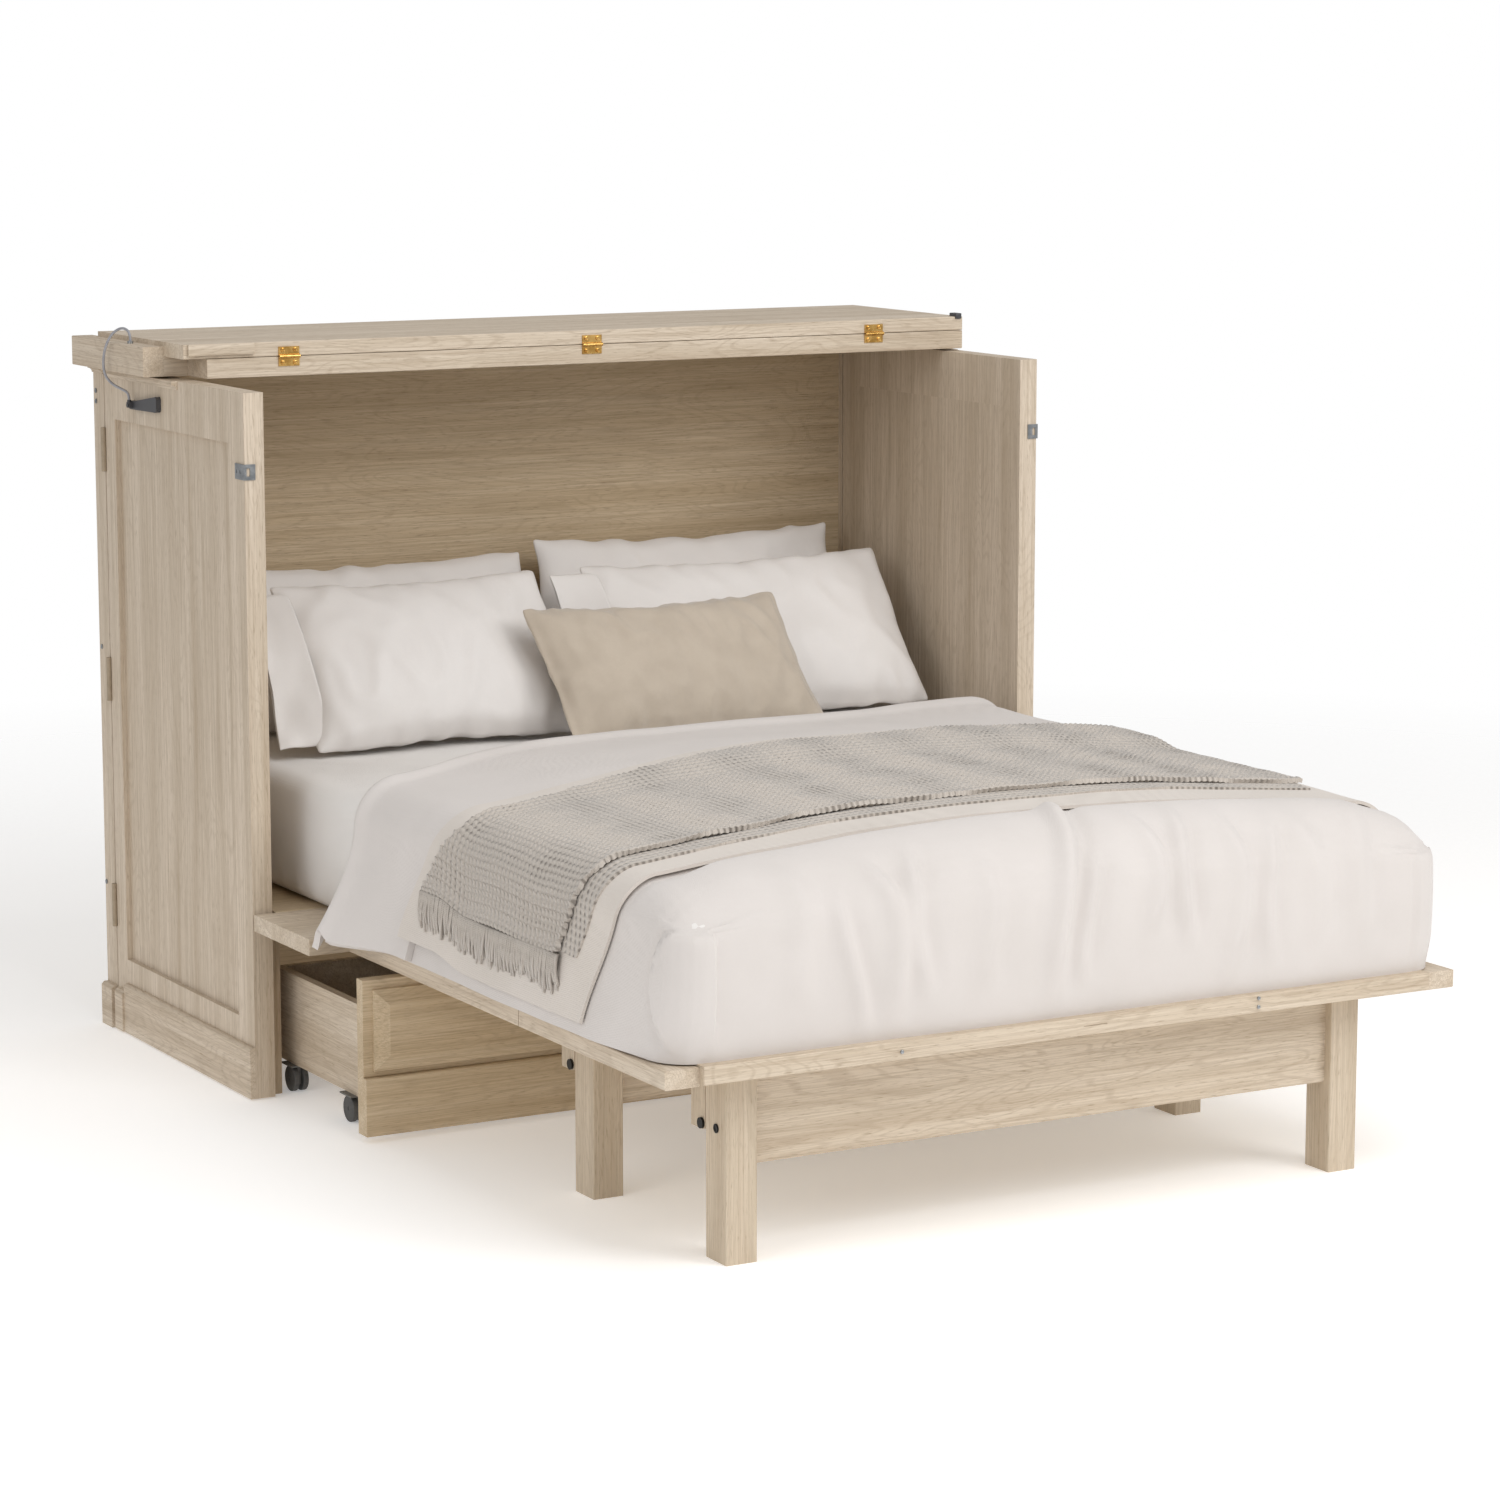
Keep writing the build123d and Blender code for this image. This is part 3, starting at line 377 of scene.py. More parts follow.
def knotted(name, pale, middle, gap_shadow, depth):
    made, shader = new_material(name)
    place = add_node(made, "UVMap", {"uv_map": "cloth"}).outputs["UV"]
    wander = add_node(made, "TexNoise", Vector=place, Scale=14, Detail=2).outputs["Color"]
    shift = add_node(made, "VectorMath", {"operation": "SCALE"}, Vector=wander, Scale=0.008)
    moved = add_node(made, "VectorMath", {"operation": "ADD"}, i0=place, i1=shift.outputs[0])
    split = add_node(made, "SeparateXYZ", Vector=moved.outputs[0])
    across = maths(made, "COSINE", maths(made, "MULTIPLY", split.outputs["Y"], 2 * math.pi / ROW))
    along = maths(made, "COSINE", maths(made, "MULTIPLY", split.outputs["X"], 2 * math.pi / LOOP))
    height = maths(made, "ADD", across, maths(made, "MULTIPLY", along, 0.55))
    yarn = add_node(made, "TexNoise", Vector=place, Scale=1 / 0.0022, Detail=3).outputs["Fac"]
    colour = ramp(made, yarn, (0.3, middle), (0.7, pale))
    # Painted shadow: the low places between the loops take a dark colour, deeper in some patches than in
    # others.
    holes = remap(made, height, -1.30, -0.30, 0.95, 0.0)
    patches = add_node(made, "TexNoise", Vector=place, Scale=1 / 0.045, Detail=2).outputs["Fac"]
    dark = maths(made, "MULTIPLY", holes, remap(made, patches, 0.35, 0.65, 0.55, 1.0))
    colour = mix(made, dark, colour, srgb(gap_shadow))
    made.node_tree.links.new(colour, shader.inputs["Base Color"])
    shader.inputs["Roughness"].default_value = 0.95
    shader.inputs["Sheen Weight"].default_value = 0.3
    bump(made, shader, maths(made, "ADD", height, yarn), depth, 0.8)
    return made


wool = knotted("knotted_wool", "CFC7BE", "B9B0A6", "6F675F", 0.0014)
wool_yarn = woven("wool_yarn", "CFC7BE", "B9B0A6", 0.003, 0.0004, sheen=0.3, patch=0.02, rough=0.95)

# %% [markdown]
# Each carried-over part now gets the finish of its real counterpart; the drawer parts get the darker
# back oak as painted shade under the platform. A table of finish to parts keeps this in one place.

# %% Finishes of the frame's own parts
FINISHES = {
    oak_upright: "posts door_stiles_left door_stiles_right door_rails_left door_rails_right",
    oak_panel: "door_panel_left door_panel_right",
    oak_inner: "inner_side_panels",
    # Painted shade: the drawer front, raised panel and plinth take the darker back oak to stand for the
    # shade under the platform.
    oak_back_and_painted_drawer_shade: "back_panel rear_platform drawer_front drawer_raised_panel drawer_plinth",
    oak_wide: "lid_flap fixed_top front_wide_board foot_rail_left foot_rail_right middle_apron foot_apron",
    oak_long: "crown_mouldings door_mouldings_left door_mouldings_right front_side_boards "
              "foot_side_boards drawer_box post_base_blocks",
    oak_leg: "middle_legs foot_legs middle_leg_brackets foot_leg_brackets",
    oak_hidden: "front_deck foot_deck",
    brass: "lid_hinges_fixed lid_hinges_moving",
    hinge_paint: "door_hinges_left door_hinges_right post_hinges",
    zinc: "latch_plate_left latch_plate_right cable_eyelet",
    bolt_black: "middle_pivot_bolts foot_pivot_bolts",
    caster_plastic: "caster_mounts",
    caster_tread: "caster_wheels_front caster_wheels_rear",
    tab_plastic: "cable_tab",
}
for finish, names in FINISHES.items():
    for name in names.split():
        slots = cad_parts[name].data.materials
        slots.clear()
        slots.append(finish)
print("finished parts:", sum(len(names.split()) for names in FINISHES.values()))

# %% [markdown]
# The cable that keeps the left door from swinging off is sheathed steel wire. It leaves an
# eyelet on the crown, stands up stiffly, falls over in one bow and ends in the tab on the door.
# A NURBS line through listed points gives the smooth bow, and its bevel gives the tube.

# %% The cable
CABLE_DIAMETER = 0.0044
CABLE_POINTS = [
    (-0.766, 0.431, 1.203), (-0.766, 0.431, 1.213), (-0.768, 0.439, 1.222), (-0.774, 0.454, 1.224),
    (-0.785, 0.468, 1.213), (-0.793, 0.478, 1.190), (-0.795, 0.483, 1.164), (-0.791, 0.486, 1.143),
    (-0.780, 0.484, 1.129), (-0.768, 0.474, 1.121), (-0.758, 0.463, 1.115), (-0.758, 0.463, 1.103),
]
route = bpy.data.curves.new("cable_route", "CURVE")
route.dimensions = "3D"
route.resolution_u = 10
spline = route.splines.new("NURBS")
spline.points.add(len(CABLE_POINTS) - 1)
for point, (x, y, z) in zip(spline.points, CABLE_POINTS):
    point.co = (x, at(y), z, 1)
spline.order_u = 3
spline.use_endpoint_u = True
route_object = bpy.data.objects.new("cable_route", route)
line = [tuple(v.co) for v in bpy.data.meshes.new_from_object(route_object).vertices]
route.bevel_depth = CABLE_DIAMETER / 2
route.bevel_resolution = 4
route.use_fill_caps = True
cable = bpy.data.objects.new("hanging_cable", bpy.data.meshes.new_from_object(route_object))
bpy.context.scene.collection.objects.link(cable)
cable.data.materials.clear()
cable.data.materials.append(cable_vinyl)
for face in cable.data.polygons:
    face.use_smooth = True
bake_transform(cable)
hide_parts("cable")

# %% [markdown]
# Soft things are shaped in two ways here. Cloth that lies on the bed follows one cross-section:
# across the flat top, round the shoulder and down the side, where it flares out and rests on the
# boards. Sharing that section keeps every layer clear of the next. Stuffed things are inflated
# by cloth simulation.

# %% The shape of the made bed
SHOULDER_R = 0.058
SHOULDER_X = DUVET_HIGH.x - SHOULDER_R      # where the flat top starts to turn down
BED_TOP = 0.544         # duvet top at the shoulders
CROWN = 0.036           # how much higher its middle is
HEM_Z = PLATFORM_Z + 0.0025
FALL = BED_TOP - SHOULDER_R - HEM_Z         # straight part of a side fall


def smooth(t):
    t = max(0.0, min(1.0, t))
    return t * t * (3 - 2 * t)


def flare(y, side):
    """How far a side fall stands out at its hem: most over the wide board, on the left."""
    from_front = y - OPEN_Y
    return (0.028 if side < 0 else 0.010) + 0.052 * smooth((from_front + 0.42) / 0.18)


def crown(x, y):
    """The top is fullest in the middle and thins out towards the pillows."""
    across = max(0.0, 1 - (x / SHOULDER_X) ** 2)
    along = 0.35 + 0.65 * smooth((OPEN_Y - 0.05 - y) / 0.45)
    return CROWN * across * along


def swell(x, y, z):
    """Gentle unevenness shared by all layers."""
    broad = noise.noise(Vector((x * 3.1, y * 3.1, z * 3.1 + 4)))
    small = noise.noise(Vector((x * 9, y * 9 + 7, z * 9)))
    return 0.0040 * broad + 0.0014 * small


def section(s, y, lift):
    """Point and outward direction at distance s across the bed, for a layer lifted off the duvet."""
    side = -1 if s < 0 else 1
    out = abs(s)
    radius = SHOULDER_R + lift
    arc = radius * math.pi / 2
    if out <= SHOULDER_X:
        point, normal = Vector((s, y, BED_TOP + lift + crown(s, y))), Vector((0, 0, 1))
    elif out <= SHOULDER_X + arc:
        angle = (out - SHOULDER_X) / radius
        x = SHOULDER_X + radius * math.sin(angle)
        z = BED_TOP + lift - radius * (1 - math.cos(angle))
        point, normal = Vector((side * x, y, z)), Vector((side * math.sin(angle), 0, math.cos(angle)))
    else:
        down = out - SHOULDER_X - arc
        x = SHOULDER_X + radius + flare(y, side) * (down / FALL) ** 1.6
        point, normal = Vector((side * x, y, BED_TOP - SHOULDER_R - down)), Vector((side, 0, 0.2))
    return point + normal.normalized() * swell(*point)


def finish_cloth(piece, material, body, thickness):
    """Thickness, smooth shading, material and ride for a laid cloth."""
    deselect()
    bpy.context.view_layer.objects.active = piece
    piece.select_set(True)
    solid = piece.modifiers.new("thickness", "SOLIDIFY")
    solid.thickness = thickness
    solid.offset = -1
    bpy.ops.object.modifier_apply(modifier=solid.name)
    bpy.ops.object.shade_smooth_by_angle(angle=math.radians(50))
    piece.data.materials.clear()
    piece.data.materials.append(material)
    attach(piece, body)


def layers_under(y):
    """Height of the duvet's folded-back cuff, which ends under the throw."""
    return 0.012 * smooth((y - at(-0.66)) / 0.09)


def laid(name, s_range, y_rear, y_front, lift, step, relief=None, keep_y=None):
    """A sheet on the bed between two edges that may run aslant; both are functions of s."""
    s0, s1 = s_range
    mid = (s0 + s1) / 2
    columns = round((s1 - s0) / step[0])
    rows = round((y_rear(mid) - y_front(mid)) / step[1])
    deselect()
    bpy.ops.mesh.primitive_grid_add(x_subdivisions=columns, y_subdivisions=rows, size=1)
    piece = bpy.context.object
    piece.name = name
    mesh = piece.data
    uv = mesh.uv_layers.active
    uv.name = "cloth"
    flat = []
    for vertex in mesh.vertices:
        s = mid + vertex.co.x * (s1 - s0)
        t = vertex.co.y + 0.5
        y = y_front(s) + t * (y_rear(s) - y_front(s))
        flat.append((s, y))
    for corner, loop in enumerate(mesh.loops):
        uv.data[corner].uv = flat[loop.vertex_index]
    for vertex, (s, y) in zip(mesh.vertices, flat):
        extra = relief(s, y) if relief else 0.0
        vertex.co = section(s, y, lift(y) + extra)
    if keep_y:
        cut_to(piece, *keep_y)
    return piece


def cut_to(piece, low, high, fill=False):
    """Keeps what lies between two planes across the bed."""
    deselect()
    bpy.context.view_layer.objects.active = piece
    piece.select_set(True)
    bpy.ops.object.mode_set(mode="EDIT")
    for place, direction in ((low, -1), (high, 1)):
        bpy.ops.mesh.select_all(action="SELECT")
        bpy.ops.mesh.bisect(plane_co=(0, place, 0), plane_no=(0, direction, 0), clear_outer=True,
                            use_fill=fill, threshold=1e-6)
    bpy.ops.object.mode_set(mode="OBJECT")


FAR = 9.0       # further than any part of the bed


def copy_of(piece, name):
    made = piece.copy()
    made.data = piece.data.copy()
    made.name = name
    bpy.context.scene.collection.objects.link(made)
    return made


# %% [markdown]
# The mattress is foam in a fitted sheet: a block with soft edges, a little fuller in the middle
# of each face, and small gathers where the sheet tucks under. A cube is bevelled and remeshed to
# an even grid, then swollen by hand, and cut where the platform folds.


def flattens(piece):
    """Gives the piece a mesh of its own."""
    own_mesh(piece)


def rounded_block(name, low, high, edge, voxel):
    low, high = Vector(low), Vector(high)
    deselect()
    bpy.ops.mesh.primitive_cube_add(size=1, location=(low + high) / 2, scale=high - low)
    piece = bpy.context.object
    piece.name = name
    bpy.ops.object.transform_apply(location=True, rotation=True, scale=True)
    bpy.ops.object.mode_set(mode="EDIT")
    bpy.ops.mesh.select_all(action="SELECT")
    bpy.ops.mesh.bevel(offset=edge, segments=6)
    bpy.ops.object.mode_set(mode="OBJECT")
    piece.data.remesh_voxel_size = voxel
    bpy.ops.object.voxel_remesh()
    return piece


MATTRESS_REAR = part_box("mattress_rear")[1].y
mattress = rounded_block("fitted_sheet", (-MATTRESS_X + 0.003, at(-1.262), MATTRESS_LOW.z),
                         (MATTRESS_X - 0.003, MATTRESS_REAR - 0.003, MATTRESS_TOP - 0.002), 0.030, 0.012)
normals = [v.normal.copy() for v in mattress.data.vertices]
for vertex, normal in zip(mattress.data.vertices, normals):
    p = vertex.co
    height = (p.z - MATTRESS_LOW.z) / (MATTRESS_TOP - MATTRESS_LOW.z)
    gather = (1 - smooth(height / 0.3)) * 0.0022 * math.sin(p.y * 95 + 3 * math.sin(p.y * 13))
    full = 0.003 * math.sin(math.pi * max(0.0, min(1.0, height)))
    crease = 0.0016 * noise.noise(Vector((p.x * 7, p.y * 11, p.z * 5)))
    if normal.z > -0.5:
        vertex.co = p + normal * (full + crease + (gather if abs(normal.x) > 0.5 else 0))
for part, low, high, body in (("rear", OPEN_Y, FAR, "cabinet"),
                              ("middle", SPLIT_Y, OPEN_Y, "front_section"),
                              ("foot", -FAR, SPLIT_Y, "foot_section")):
    piece = copy_of(mattress, "fitted_sheet_" + part)
    cut_to(piece, low, high, fill=True)
    piece.data.materials.append(sheet_percale)
    bpy.ops.object.shade_smooth_by_angle(angle=math.radians(50))
    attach(piece, body)
    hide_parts("mattress_" + part)
    if part != "rear":
        flattens(piece)
bpy.data.objects.remove(mattress)
print("mattress parts made")

# %% [markdown]
# On a real bed the cover's edges are never square to the mattress. Here the rear edge of each
# layer swings forward on the left, so the edges are functions of the distance across the bed.


# %% Edges of the layers
def bend(points):
    """A smooth line through (s, y) places, given from the open front."""
    def line_at(s):
        for (s0, y0), (s1, y1) in zip(points, points[1:]):
            if s <= s1:
                return at(y0 + (y1 - y0) * smooth((s - s0) / (s1 - s0)))
        return at(points[-1][1])
    return line_at


SIDE_S = SHOULDER_X + SHOULDER_R * math.pi / 2 + FALL      # distance across to the hem
CUFF_REAR = bend([(-SIDE_S, -0.236), (-0.62, -0.24), (-0.30, -0.115), (0.20, -0.085), (0.62, 0.0),
                  (SIDE_S, 0.02)])
COVER_REAR = bend([(-SIDE_S, -0.445), (-0.62, -0.555), (0.0, -0.450), (SIDE_S, -0.36)])
COVER_FRONT = bend([(-SIDE_S, -1.035), (-0.63, -1.118), (0.0, -1.105), (SIDE_S, -1.125)])
CUFF_FRONT = bend([(-SIDE_S, -0.47), (-0.62, -0.62), (SIDE_S, -0.62)])
THROW_REAR = bend([(-SIDE_S, -0.485), (-0.63, -0.612), (0.0, -0.520), (0.62, -0.450)])
THROW_FRONT = bend([(-SIDE_S, -0.935), (-0.63, -1.020), (-0.20, -0.995), (0.62, -0.980)])

# %% [markdown]
# The duvet is one soft shell over the mattress: puffed top, round shoulders, falls at both sides
# and the foot. Its foot has the soft upright folds of cloth pushed together, each a ridge that
# starts on top and runs over the edge. They are drawn as smooth moves of the mesh.

# %% Duvet
FOOT_FACE = DUVET_LOW.y + 0.013
FOOT_TOP_Y = at(-1.06)
# each fold: x at its start, x at its end, start and end along its path, height, width
FOLDS = [
    (0.030, -0.045, 0.00, 0.46, 0.0100, 0.020), (-0.335, -0.300, 0.14, 0.46, 0.0060, 0.018),
    (-0.270, -0.262, 0.12, 0.42, 0.0052, 0.015), (0.020, 0.012, 0.18, 0.43, 0.0060, 0.015),
    (0.135, 0.128, 0.10, 0.38, 0.0055, 0.018), (0.200, 0.188, 0.09, 0.40, 0.0060, 0.015),
    (0.285, 0.262, 0.11, 0.46, 0.0058, 0.019), (0.420, 0.405, 0.12, 0.42, 0.0042, 0.024),
    (-0.470, -0.455, 0.13, 0.42, 0.0044, 0.026), (-0.160, -0.150, 0.16, 0.43, 0.0040, 0.020),
    (0.350, 0.338, 0.14, 0.44, 0.0044, 0.014), (-0.390, -0.372, 0.20, 0.46, 0.0045, 0.014),
    (0.520, 0.500, 0.10, 0.44, 0.0044, 0.022),
]


def fold_height(p):
    """How far the folds push a point of the duvet's foot outwards."""
    along = max(0.0, FOOT_TOP_Y - p.y) + max(0.0, BED_TOP + 0.02 - p.z)
    total = 0.0
    for x0, x1, start, end, height, width in FOLDS:
        t = (along - start) / (end - start)
        if 0 < t < 1:
            middle = x0 + (x1 - x0) * t + 0.012 * math.sin(5 * t + x0 * 40)
            u = (p.x - middle) / width
            fade = smooth(t / 0.3) * smooth((1 - t) / 0.25)
            total += height * fade * (math.exp(-u * u) - 0.55 * math.exp(-(u - 1.35) ** 2))
    return total


duvet = rounded_block("duvet", (-DUVET_HIGH.x, FOOT_FACE, HEM_Z - 0.075),
                      (DUVET_HIGH.x, at(-0.02), BED_TOP), SHOULDER_R, 0.0060)


def puff(x, y):
    """The cover is fullest between the coverlet's edge and the foot, and rolls over the edge."""
    ahead = COVER_FRONT(x) - 0.004 - y
    full = 0.016 * smooth((ahead - 0.003) / 0.034) * smooth((0.625 - abs(x)) / 0.10)
    full -= 0.004 * math.exp(-(ahead / 0.010) ** 2)
    roll = 0.026 * (1 - smooth((y - FOOT_FACE) / 0.115)) ** 1.5
    return full - roll


def mitre(p):
    """At the foot corners the cloth of the foot wraps round and ends in a folded edge."""
    up = (p.z - HEM_Z) / (BED_TOP - 0.014 - HEM_Z)
    if abs(p.x) < 0.60 or not 0 < up < 1:
        return 0.0
    edge = FOOT_FACE + 0.006 + 0.055 * math.sin(math.pi * up) ** 0.8
    ahead = edge - p.y
    ends = smooth(math.sin(math.pi * up) * 1.3)
    wrapped = (0.0095 if p.x < 0 else 0.0050) * smooth((ahead + 0.003) / 0.006) * ends
    groove = 0.0050 * math.exp(-((ahead + 0.008) / 0.008) ** 2) * ends
    return wrapped - groove


normals = [v.normal.copy() for v in duvet.data.vertices]
for vertex, normal in zip(duvet.data.vertices, normals):
    p = vertex.co.copy()
    drop = max(0.0, BED_TOP - SHOULDER_R - p.z) / FALL
    side = 1 if p.x > 0 else -1
    foot_fade = smooth((p.y - FOOT_FACE) / 0.22)
    if abs(normal.x) > 0.3 and abs(p.x) > 0.55:
        p.x += side * flare(p.y, side) * drop ** 1.6 * (0.35 + 0.65 * foot_fade)
    if normal.z > 0:
        rise = crown(p.x, p.y) * (0.60 + 0.40 * smooth((p.y - FOOT_FACE) / 0.16)) + puff(p.x, p.y)
        p.z += rise * min(1.0, normal.z * 1.6)
    if normal.y < -0.3:
        p.y -= 0.010 * math.sin(math.pi * max(0.0, min(1.0, (p.z - HEM_Z) / (BED_TOP - HEM_Z))))
    p += normal * (swell(*p) + 1.9 * fold_height(p) + mitre(vertex.co))
    vertex.co = p

deselect()
bpy.context.view_layer.objects.active = duvet
duvet.select_set(True)
bpy.ops.object.mode_set(mode="EDIT")
bpy.ops.mesh.select_all(action="SELECT")
bpy.ops.mesh.bisect(plane_co=(0, 0, HEM_Z), plane_no=(0, 0, -1), clear_outer=True, threshold=1e-6)
bpy.ops.object.mode_set(mode="OBJECT")
print("duvet points:", len(duvet.data.vertices))

# %% Cut the duvet at the fold
for part, low, high, body in (("middle", SPLIT_Y, at(-0.26), "front_section"),
                              ("foot", -FAR, SPLIT_Y, "foot_section")):
    piece = copy_of(duvet, "duvet_cover_" + part)
    cut_to(piece, low, high)
    finish_cloth(piece, duvet_percale, body, 0.012)
    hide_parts("duvet_" + part)
    flattens(piece)
bpy.data.objects.remove(duvet)

# %% Folded-back cuff of the duvet
LAID_STEP = (0.010, 0.010)                          # mesh spacing of plain cloth


def cuff_relief(s, y):
    rear = CUFF_REAR(s)
    roll = 0.010 * math.exp(-((rear - 0.018 - y) / 0.016) ** 2)
    soft = 0.0020 * noise.noise(Vector((s * 6, y * 10, 2)))
    return roll + soft - 0.012 * smooth((y - rear + 0.012) / 0.012)


cuff = laid("duvet_cuff", (-SIDE_S - 0.014, SIDE_S), CUFF_REAR, CUFF_FRONT, lambda y: 0.0115,
            LAID_STEP, cuff_relief)
finish_cloth(cuff, duvet_percale, "front_section", 0.011)
flattens(cuff)
print("cuff made")

# %% Coverlet under the throw
HALVES = (("middle", (SPLIT_Y, FAR), "front_section"), ("foot", (-FAR, SPLIT_Y), "foot_section"))
for part, keep, body in HALVES:
    piece = laid("coverlet_" + part, (-SIDE_S + 0.006, SIDE_S - 0.006), COVER_REAR, COVER_FRONT,
                 lambda y: 0.0085 + layers_under(y), LAID_STEP, keep_y=keep)
    finish_cloth(piece, cover_sateen, body, 0.005)
    flattens(piece)
print("coverlet made")

# %% [markdown]
# The throw lies on the coverlet and hangs over the left side only. Its rows of loops are raised
# in the mesh itself: a wave across the rows, broken up along them. A second layer, where the
# throw is folded double, peeps out in front. The cut end on the left is a fringe of yarns.

# %% Throw
THROW_S = (-(SIDE_S - 0.075), 0.605)     # its cut end hangs 75 mm short of the hem


def loops(s, y):
    rows = math.cos(2 * math.pi * (y + 0.002 * math.sin(s * 40)) / ROW)
    along = math.cos(2 * math.pi * s / LOOP)
    rim = math.exp(-((y - THROW_FRONT(s)) / 0.012) ** 2)
    soft = 0.0030 * noise.noise(Vector((s * 5, y * 8, 1)))
    return 0.0015 * rows + 0.0011 * along + 0.0035 * rim + soft


for part, keep, body in HALVES:
    piece = laid("knotted_throw_" + part, THROW_S, THROW_REAR, THROW_FRONT,
                 lambda y: 0.0185 + layers_under(y), (0.0040, 0.0035), loops, keep)
    finish_cloth(piece, wool, body, 0.007)
    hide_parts("throw_" + part)
    flattens(piece)
    print(piece.name, "faces", len(piece.data.polygons))

under = laid("throw_under_layer", (THROW_S[0] + 0.012, 0.590), lambda s: THROW_FRONT(s) + 0.030,
             lambda s: THROW_FRONT(s) - 0.040, lambda y: 0.0120, (0.006, 0.004),
             lambda s, y: 0.3 * loops(s, y))
finish_cloth(under, wool, "foot_section", 0.004)
flattens(under)

# %% Fringe
STRAND_R = 0.0024
STRAND_PAIRS = 96
random.seed(7)
rear_y, front_y = THROW_REAR(THROW_S[0]), THROW_FRONT(THROW_S[0])


def strand(mesh_data, start, length):
    """One yarn of the fringe: a four-sided tube that hangs and curls a little."""
    verts, faces = mesh_data
    sway = Vector((random.uniform(-0.006, 0.002), random.uniform(-0.007, 0.007), 0))
    rings = 5
    for i in range(rings):
        t = i / (rings - 1)
        centre = start + sway * t * t + Vector((-0.004 * math.sin(math.pi * t), 0, -length * t))
        radius = STRAND_R * (1.25 - 0.35 * t)
        for k in range(4):
            turn = math.pi / 2 * k + t
            verts.append(centre + Vector((math.cos(turn), math.sin(turn), 0)) * radius)
    base = len(verts) - 4 * rings
    for i in range(rings - 1):
        for k in range(4):
            a, b = base + 4 * i + k, base + 4 * i + (k + 1) % 4
            faces.append((a, b, b + 4, a + 4))
    faces.append(tuple(base + k for k in (3, 2, 1, 0)))
    faces.append(tuple(base + 4 * (rings - 1) + k for k in range(4)))


parts = {"middle": ([], []), "foot": ([], [])}
for i in range(STRAND_PAIRS):
    y = front_y + (rear_y - front_y) * (i + 0.5) / STRAND_PAIRS + random.uniform(-0.0012, 0.0012)
    start = section(THROW_S[0] + 0.003, y, 0.0160 + layers_under(y))
    part = "middle" if y > SPLIT_Y else "foot"
    for twin in range(2):
        offset = Vector((0.0022 * (twin - 0.5), 0.0016 * (twin - 0.5), 0))
        strand(parts[part], start + offset, random.uniform(0.042, 0.062))
for part, (verts, faces) in parts.items():
    mesh = bpy.data.meshes.new("throw_fringe_" + part)
    mesh.from_pydata([tuple(v) for v in verts], [], faces)
    mesh.materials.append(wool_yarn)
    for face in mesh.polygons:
        face.use_smooth = True
    fringe = bpy.data.objects.new("throw_fringe_" + part, mesh)
    bpy.context.scene.collection.objects.link(fringe)
    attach(fringe, "front_section" if part == "middle" else "foot_section")
    flattens(fringe)
print("fringe strands:", 2 * STRAND_PAIRS)

# %% [markdown]
# Pillows and the cushion are two rectangles of cloth sewn together and blown up. That is just
# what the simulation does: a flat closed slab, inner pressure, no gravity. The rim stays long
# while the faces puff, so it puckers as a real seam does. The result is brought to its measured
# size, leaned back and set on the mattress.


# %% Inflating a pillow
def stuffed(u, v, face, size, rim):
    """An evenly filled pillow: u and v run from -1 to 1 over it, face is -1 below and 1 above."""
    wide, high, thick = size
    pinch_x = 1 - 0.022 * (1 - v * v)
    pinch_y = 1 - (0.035 if v > 0 else 0.004) * (1 - u * u)
    a, b = min(1.0, abs(u) / (1 - rim)), min(1.0, abs(v) / (1 - 1.6 * rim))
    body = ((1 - a ** 2.4) * (1 - b ** 2.4)) ** 0.40 if a < 1 and b < 1 else 0.0
    return Vector((wide / 2 * (1 + u * pinch_x), high / 2 * (1 + v * pinch_y),
                   thick / 2 + face * (0.0015 + (thick / 2 - 0.0015) * body)))


